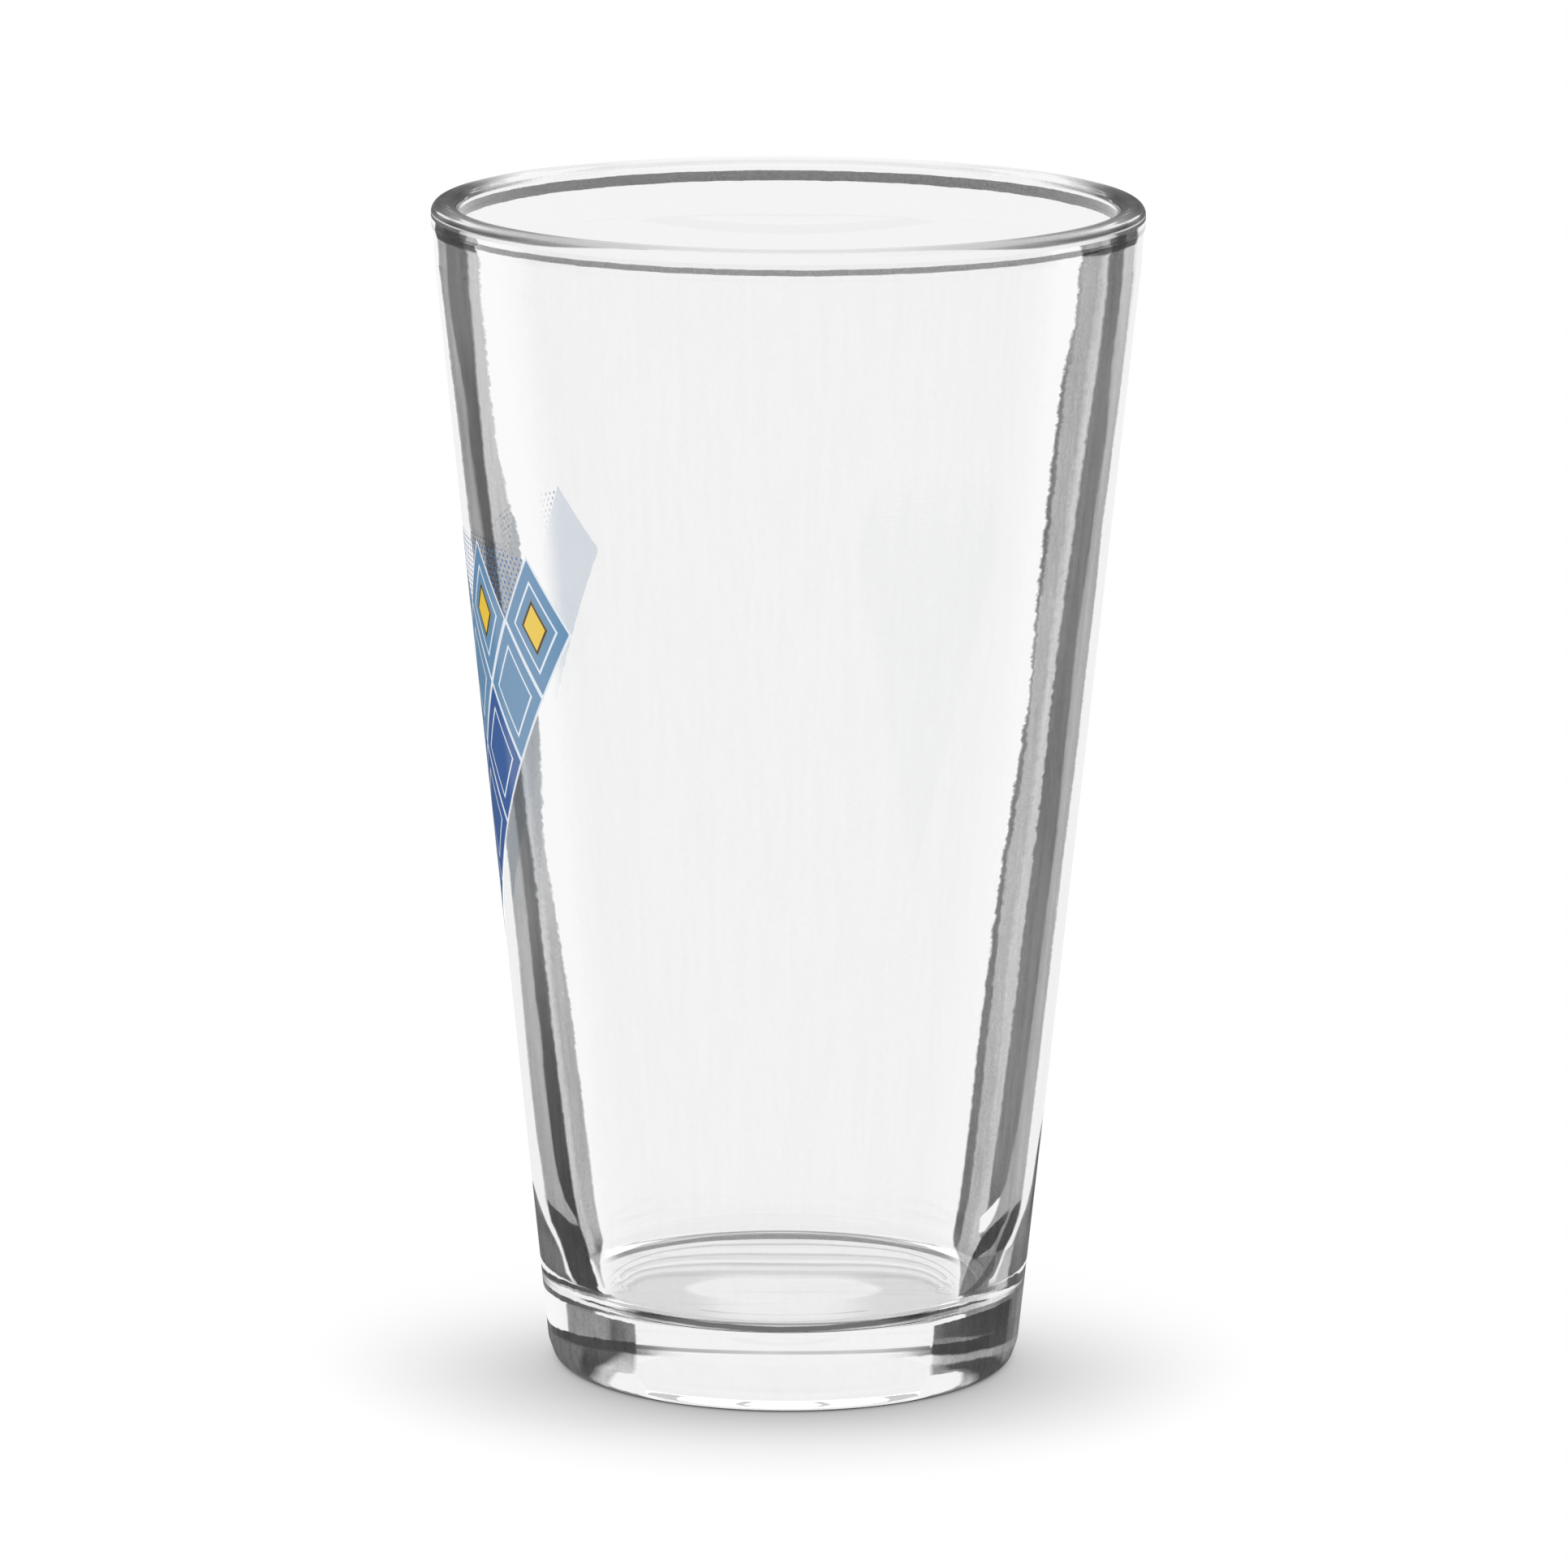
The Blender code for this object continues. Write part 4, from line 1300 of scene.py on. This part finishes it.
    def _painted_floor(self, graph: Graph, x: Signal, y: Signal, z: Signal, radius: Signal) -> PaintedLight:
        """The floor of the cavity as painted light and shade, drawn as emission: its low rings, and the dark
        ring where it curls up at the back.

        The rings crowd together at the sides. The ones further in lie further forward and are
        squarer, as the thick base bends them. Lengths are in millimetres.

        Args:
            graph: The node tree.
            x: Place across.
            y: Place in depth.
            z: Height.
            radius: Distance from the axis.

        Returns:
            The painted light, on the floor and the foot of its fillet.
        """
        on_floor = (z < self.shape.base_thickness + 0.5 * MM) * (z > self.shape.base_thickness - 1.0 * MM)
        warp = graph.noise((90.0, 90.0, 90.0), 3.0, 0.6) - 0.5
        aside = (x / MM).size()
        back = y / MM + warp * 1.2
        ring = self._ring(graph, aside, back)
        span = self.LAST_RING - self.FIRST_RING
        dark = graph.curve((ring - self.FIRST_RING) / span, [
            ((at - self.FIRST_RING) / span, value) for at, value in self.painted_floor_rings])
        # A painted haze inside the rings and round the flat oval in the middle
        oval = aside * aside / 156.0 + (back + 4.0) * (back + 4.0) / 36.0
        painted_haze = (ring - 0.9).step(0.0, 0.15) * oval.step(0.85, 1.1) * aside.step(5.0, 12.5) * 0.19
        # A short painted dark line at the front, and fine painted lines all over
        dash = (back + 18.6 - aside * aside * 0.027).size()
        short = (1.0 - dash.step(0.2, 0.7)) * (1.0 - aside.step(9.5, 11.0))
        short = short * (0.10 + aside.step(5.0, 8.0) * 0.16)
        fine = graph.noise((40.0, 600.0, 40.0), 3.0, 0.6).step(0.52, 0.7) * 0.06
        # The painted dark ring where the floor curls up lies further out at the sides
        wide = aside / 20.7
        curl = (radius / MM + warp * 0.5 - 20.4 - 3.3 * wide * wide.root()).step(-0.15, 0.15)
        curl = curl * (back / 20.0).step(0.2, 0.6)
        dark = 1.0 - (1.0 - dark - painted_haze - short - fine) * (1.0 - curl * 0.65)
        light = (1.0 - dark * (1.0 + graph.grain() * 0.4)) * 0.925 - graph.mirrored(self.index) * 0.92
        covers = on_floor * (1.0 - (radius / MM - 22.8 - 1.6 * wide * wide).step(0.0, 0.3))
        return PaintedLight(covers, light.at_least(0.0))

    def _ring(self, graph: Graph, aside: Signal, back: Signal) -> Signal:
        """Which of the floor's rings a point lies on.

        A ring is a rounded oblong whose width, depth and squareness depend on which it is, so its
        place is found in a few rounds, each with the sizes of the last.

        Args:
            graph: The node tree.
            aside: Distance from the middle, across.
            back: Place in depth.

        Returns:
            0 on the ring at the back of the floor, 1 on the innermost.
        """
        ring: Signal | float = 0.5
        for _ in range(5):
            power = 2.5 + 1.5 * ring
            half_width = 22.6 - 3.4 * ring
            depth = 22.0 - 13.0 * ring
            inside = 1.0 - graph.math("POWER", (aside / half_width).at_most(1.0), power)
            curl = depth * (1.0 - graph.math("POWER", inside, 1.0 / power))
            ring = (self.FLOOR_BACK - back - curl) / self.RINGS_SPAN
            ring = ring.at_least(self.FIRST_RING).at_most(self.LAST_RING)
        return ring


# ---------------------------------------------------------------------------------------------
# The print
# ---------------------------------------------------------------------------------------------


WHITE_INK = (0.80, 0.86, 0.93)
BLACK_INK = (0.012, 0.011, 0.011)
SKY_BLUE = (0.120, 0.275, 0.465)
DEEP_BLUE = (0.026, 0.108, 0.350)
YELLOW = (0.86, 0.58, 0.03)
DOT_BLUE = (0.10, 0.24, 0.55)
INK_ROUGHNESS = 0.45
INK_SHINE = 0.15


@dataclass(frozen=True)
class Ink:
    """Opaque glass ink, satin, with a thin line inside its edge; a painted sheen whitens it where a tall
    lamp's gloss would lie, and its glow is painted light.
    """

    name: str
    colour: Colour
    line_colour: Colour | None = None
    line_inset: float = 0.0
    line_width: float = 0.0
    line_blur: float = 0.04 * MM
    # lift: how far the painted sheen whitens the ink
    lift: float = 0.08
    grain: float = 0.03
    # glow is painted light: emission in the ink's own colour
    glow: float = 0.0

    def material(self, breadth: float) -> bpy.types.Material:
        """Build the shader.

        Args:
            breadth: Distance between two opposite sides of the patch that the ink fills.

        Returns:
            The finish.
        """
        made = bpy.data.materials.new(f"{self.name}_finish")
        graph = Graph(made)
        colour: Input = self.colour
        if self.line_colour:
            from_edge = self._from_edge(graph, breadth)
            line_end = self.line_inset + self.line_width
            started = from_edge.step(self.line_inset, self.line_inset + self.line_blur)
            ended = from_edge.step(line_end, line_end + self.line_blur)
            colour = graph.blend(started * (1.0 - ended), colour, self.line_colour)
        # Painted sheen: the ink is whitened where a tall lamp's gloss would lie
        colour = graph.blend(self._painted_sheen(graph) * self.lift, colour, WHITE)
        speckle = graph.noise((4000.0, 4000.0, 4000.0)) * self.grain
        colour = graph.blend(speckle, colour, WHITE)
        shader = graph.node("ShaderNodeBsdfPrincipled", {}, {
            "Base Color": colour, "Roughness": INK_ROUGHNESS, "Specular IOR Level": INK_SHINE,
            "Emission Color": self.colour, "Emission Strength": self.glow,
        })
        graph.finish(shader.out("BSDF"))
        return made

    @staticmethod
    def _from_edge(graph: Graph, breadth: float) -> Signal:
        """How far in from the nearest side of the patch a point lies.

        Args:
            graph: The node tree.
            breadth: Distance between two opposite sides of the patch.

        Returns:
            The distance.
        """
        where = graph.node("ShaderNodeTexCoord").out("UV")
        parts = graph.node("ShaderNodeSeparateXYZ", {}, {0: where})
        u, v = parts.out("X"), parts.out("Y")
        return u.at_most(1.0 - u).at_most(v).at_most(1.0 - v) * breadth

    @staticmethod
    def _painted_sheen(graph: Graph) -> Signal:
        """Painted sheen: where a tall lamp's soft gloss is painted into the ink, on the stretch of the wall
        that is seen at a slant.
        """
        aslant = graph.aslant()
        return aslant.step(0.27, 0.45) * (1.0 - aslant.step(0.62, 0.68))


@dataclass(frozen=True)
class DottedInk:
    """Fine dots of ink with clear glass between them; a dot's radius is a share of their spacing."""

    name: str
    colour: Colour
    across: int
    dot_radius: float = 0.19
    dot_blur: float = 0.03

    def material(self) -> bpy.types.Material:
        """Build the shader.

        Returns:
            The finish.
        """
        made = bpy.data.materials.new(f"{self.name}_finish")
        graph = Graph(made)
        where = graph.node("ShaderNodeTexCoord").out("UV")
        parts = graph.node("ShaderNodeSeparateXYZ", {}, {0: where})
        squares = [graph.math("FRACT", parts.out(axis) * float(self.across)) - 0.5 for axis in "XY"]
        from_middle = (squares[0] * squares[0] + squares[1] * squares[1]).root()
        dot = 1.0 - from_middle.step(self.dot_radius - self.dot_blur, self.dot_radius + self.dot_blur)
        shader = graph.node("ShaderNodeBsdfPrincipled", {}, {
            "Base Color": self.colour, "Roughness": INK_ROUGHNESS, "Specular IOR Level": INK_SHINE,
            "Alpha": dot,
        })
        graph.finish(shader.out("BSDF"))
        return made


class Ground(Enum):
    """What a patch of ink lies on; its value is how many films that makes."""

    GLASS = 0
    UNDER_COAT = 1
    LOZENGE = 2


def whole(along: float, up: float) -> bool:
    """Keep every cell of a film."""
    return True


def lower_half(along: float, up: float) -> bool:
    """Keep the cells of a film that are under its middle."""
    return up < 0


@dataclass
class Harlequin:
    """The printed pattern: rows of lozenges that narrow to a tip. Lengths are in metres."""

    wall: Tumbler
    rows: int = 5
    sky_rows: int = 2
    width: float = 13.5 * MM
    height: float = 18.0 * MM
    gap: float = 0.7 * MM
    line_inset: float = 1.5 * MM
    line_width: float = 0.30 * MM
    diamond: Point = (5.2 * MM, 7.0 * MM)
    diamond_edge: float = 0.35 * MM
    dots_across: int = 13
    tip: float = 53.5 * MM
    facing: float = math.pi
    film: float = 0.022 * MM
    lift_off: float = 0.012 * MM
    cells: int = 14
    crease: float = math.radians(40)

    def on_wall(self, along: float, height: float, lift: float) -> Vector:
        """Where a point of the flat pattern lies.

        Args:
            along: Distance round the wall from the pattern's middle, to the right from outside.
            height: Height above the table.
            lift: Distance out from the glass.

        Returns:
            The place.
        """
        angle = self.facing + along / self.wall.outer_radius(height)
        radius = self.wall.outer_radius(height) + lift
        return Vector((radius * math.cos(angle), radius * math.sin(angle), height))

    def middle(self, row: int, place: int) -> Point:
        """Middle of a lozenge, as its distance round the wall and its height."""
        count = self.rows - row
        return (place - (count - 1) / 2) * self.width, self.tip + count * self.height / 2

    def breadth(self, size: Point) -> float:
        """Distance between two opposite sides of a lozenge."""
        return size[0] * size[1] / math.hypot(*size)

    def inner(self, size: Point, gap: float) -> Point:
        """Size of a lozenge after its four sides move in by half a gap."""
        kept = 1.0 - gap / self.breadth(size)
        return size[0] * kept, size[1] * kept

    def patch(self, name: str, middle: Point, size: Point, ground: Ground,
              keep: Callable[[float, float], bool] = whole) -> bpy.types.Object:
        """Lay a lozenge of film on the wall.

        Args:
            name: Name of the piece.
            middle: Distance round the wall, and height.
            size: Width and height from tip to tip.
            ground: What it lies on.
            keep: Test on a cell's middle, in shares of half the size, for a film that is cut.

        Returns:
            The piece.
        """
        piece = start_piece(name, "grid", x_subdivisions=self.cells, y_subdivisions=self.cells, size=2.0)
        bpy.ops.object.mode_set(mode="EDIT")
        bpy.ops.mesh.select_all(action="DESELECT")
        shape = bmesh.from_edit_mesh(piece.data)
        for face in shape.faces:
            a, b, _ = face.calc_center_median()
            face.select = not keep((a - b) / 2, (a + b) / 2)
        bmesh.update_edit_mesh(piece.data)
        bpy.ops.mesh.delete(type="FACE")
        lift = self.lift_off + ground.value * (self.film + self.lift_off)
        shape = bmesh.from_edit_mesh(piece.data)
        for point in shape.verts:
            a, b, _ = point.co
            point.co = self.on_wall(middle[0] + (a - b) * size[0] / 4,
                                    middle[1] + (a + b) * size[1] / 4, lift)
        bmesh.update_edit_mesh(piece.data)
        bpy.ops.object.mode_set(mode="OBJECT")
        solid = piece.modifiers.new("film", "SOLIDIFY")
        solid.thickness = self.film
        solid.offset = 1.0
        bpy.ops.object.modifier_apply(modifier=solid.name)
        bpy.ops.object.shade_smooth_by_angle(angle=self.crease)
        return piece

    def build(self) -> None:
        """Lay every patch of the pattern."""
        full = (self.width, self.height)
        size = self.inner(full, self.gap)
        breadth = self.breadth(size)
        line = (WHITE_INK, self.line_inset, self.line_width)
        sky = Ink("sky_blue_ink", SKY_BLUE, *line).material(breadth)
        deep = Ink("deep_blue_ink", DEEP_BLUE, *line).material(breadth)
        yellow = Ink("yellow_ink", YELLOW, BLACK_INK, 0.0, self.diamond_edge).material(
            self.breadth(self.diamond))
        under = Ink("under_coat", WHITE_INK, lift=0.0, grain=0.02).material(breadth)
        # The back of the under coat, seen through the glass, glows with painted light
        back = Ink("ink_back", WHITE_INK, lift=0.0, grain=0.0, glow=0.45).material(breadth)
        dots = DottedInk("dotted_ink", DOT_BLUE, self.dots_across).material()
        for row in range(self.rows):
            finish, slot = (sky, "sky_blue_ink") if row < self.sky_rows else (deep, "deep_blue_ink")
            for place in range(self.rows - row):
                name = f"{row + 1}_{place + 1}"
                middle = self.middle(row, place)
                coat = self.patch(f"under_coat_{name}", middle, full, Ground.GLASS)
                settle(coat, under)
                show_back(coat, back)
                lozenge = self.patch(f"lozenge_{name}", middle, size, Ground.UNDER_COAT)
                settle(lozenge, finish, [f"print_lozenge_{name}"])
                if row == 0:
                    mark = self.patch(f"diamond_{place + 1}", middle, self.diamond, Ground.LOZENGE)
                    settle(mark, yellow, [f"print_diamond_{place + 1}"])
        self.build_dots(dots)

    def build_dots(self, finish: bpy.types.Material) -> None:
        """Fill the notches between the tips of the top row with dots.

        Args:
            finish: The dotted ink.
        """
        along, up = self.middle(0, 0)
        for place in range(self.rows - 1):
            middle = (along + (place + 0.5) * self.width, up + self.height / 2)
            half = self.patch(f"dots_{place + 1}", middle, (self.width, self.height), Ground.GLASS,
                              lower_half)
            settle(half, finish)


# ---------------------------------------------------------------------------------------------
# Camera, stage and light
# ---------------------------------------------------------------------------------------------


@dataclass
class Studio:
    """The camera, the white table and the light."""

    camera_place: Vector = field(default_factory=lambda: Vector((-0.22, -1073.8, 295.2)) * MM)
    camera_pitch: float = math.radians(11.644)
    camera_roll: float = 0.0046
    lens: float = 199.41
    sensor_width: float = 36.0
    clip_start: float = 0.01
    table_size: float = 8.0
    table_drop: float = 0.05 * MM
    shadow_reach: float = 31.0 * MM
    shadow_samples: int = 32
    shadow_back: Point = (-22.0 * MM, 38.0 * MM)    # between these depths the shadow fades away
    shadow_back_loss: float = 0.9
    shadow_front: Point = (30.0 * MM, 50.0 * MM)    # and between these, towards the front
    shadow_front_loss: float = 0.3
    steep_ring: Point = (24.0 * MM, 32.0 * MM)      # radii of what the heel shows from above
    steep_ring_edge: float = 0.5 * MM
    steep_view: Point = (0.62, 0.75)                # how squarely the table has to be seen
    steep_loss: float = 0.70
    ceiling: Point = (math.radians(22), math.radians(50))
    ceiling_loss: float = 0.85
    mirrored_loss: float = 0.80

    def add_camera(self) -> None:
        """Put the camera in the scene and make it the active one."""
        data = bpy.data.cameras.new("camera")
        data.lens = self.lens
        data.sensor_width = self.sensor_width
        data.clip_start = self.clip_start
        camera = bpy.data.objects.new("camera", data)
        camera.matrix_world = (
            Matrix.Translation(self.camera_place)
            @ Matrix.Rotation(math.pi / 2 - self.camera_pitch, 4, "X")
            @ Matrix.Rotation(self.camera_roll, 4, "Z")
        )
        bpy.context.scene.collection.objects.link(camera)
        bpy.context.scene.camera = camera

    def add_table(self) -> None:
        """Lay a white table that keeps the soft shadow of what stands on it.

        Only a straight look at the table shows the shadow. The table is darker where the glass
        mirrors it, and under the heel where the glass looks steeply down at it.
        """
        table = start_piece("table", "plane", size=self.table_size,
                            location=(0.0, 0.0, -self.table_drop))
        made = bpy.data.materials.new("table_finish")
        graph = Graph(made)
        near = graph.node("ShaderNodeAmbientOcclusion", {"samples": self.shadow_samples},
                          {"Distance": self.shadow_reach}).out("AO")
        path = graph.node("ShaderNodeLightPath")
        direct = path.out("Is Camera Ray")
        through = path.out("Is Transmission Ray")
        mirrored = path.out("Is Glossy Ray") * (1.0 - through)
        x, y, _ = graph.place()
        radius = (x * x + y * y).root()
        shaded = (1.0 - near.at_most(1.0)) * (1.0 - y.step(*self.shadow_back) * self.shadow_back_loss)
        shaded = shaded * (1.0 - (-y).step(*self.shadow_front) * self.shadow_front_loss)
        inner, outer = (
            radius.step(edge - self.steep_ring_edge, edge + self.steep_ring_edge)
            for edge in self.steep_ring
        )
        under_heel = inner * (1.0 - outer)
        steep = (1.0 - graph.aslant()).step(*self.steep_view)
        level = (
            1.0 - direct * shaded - mirrored * self.mirrored_loss
            - through * under_heel * steep * self.steep_loss
        )
        glow = graph.node("ShaderNodeEmission", {}, {"Color": WHITE, "Strength": level})
        graph.finish(glow.out("Emission"))
        table.data.materials.append(made)

    def add_world(self) -> None:
        """Hang a white backdrop, with a ceiling that is darker through glass and in what it mirrors."""
        world = bpy.data.worlds.new("World")
        bpy.context.scene.world = world
        graph = Graph(world)
        direction = graph.node("ShaderNodeTexCoord").out("Generated")
        up = graph.node("ShaderNodeSeparateXYZ", {}, {0: direction}).out("Z")
        path = graph.node("ShaderNodeLightPath")
        through = path.out("Is Transmission Ray")
        mirrored = path.out("Is Glossy Ray") * (1.0 - through)
        ceiling = up.step(*(math.sin(angle) for angle in self.ceiling))
        level = 1.0 - through * ceiling * self.ceiling_loss - mirrored * self.mirrored_loss
        glow = graph.node("ShaderNodeBackground", {}, {"Color": WHITE, "Strength": level})
        graph.finish(glow.out("Background"))

    def set_view(self) -> None:
        """Show colours as they are written."""
        bpy.context.scene.view_settings.view_transform = "Standard"


def main() -> None:
    """Build the stage, then each piece of the glass in order."""
    logging.basicConfig(level=logging.INFO, format="%(message)s")
    studio = Studio()
    studio.set_view()
    studio.add_camera()
    studio.add_table()
    studio.add_world()
    tumbler = Tumbler()
    tumbler.build()
    Harlequin(tumbler).build()


if __name__ == "__main__":
    main()
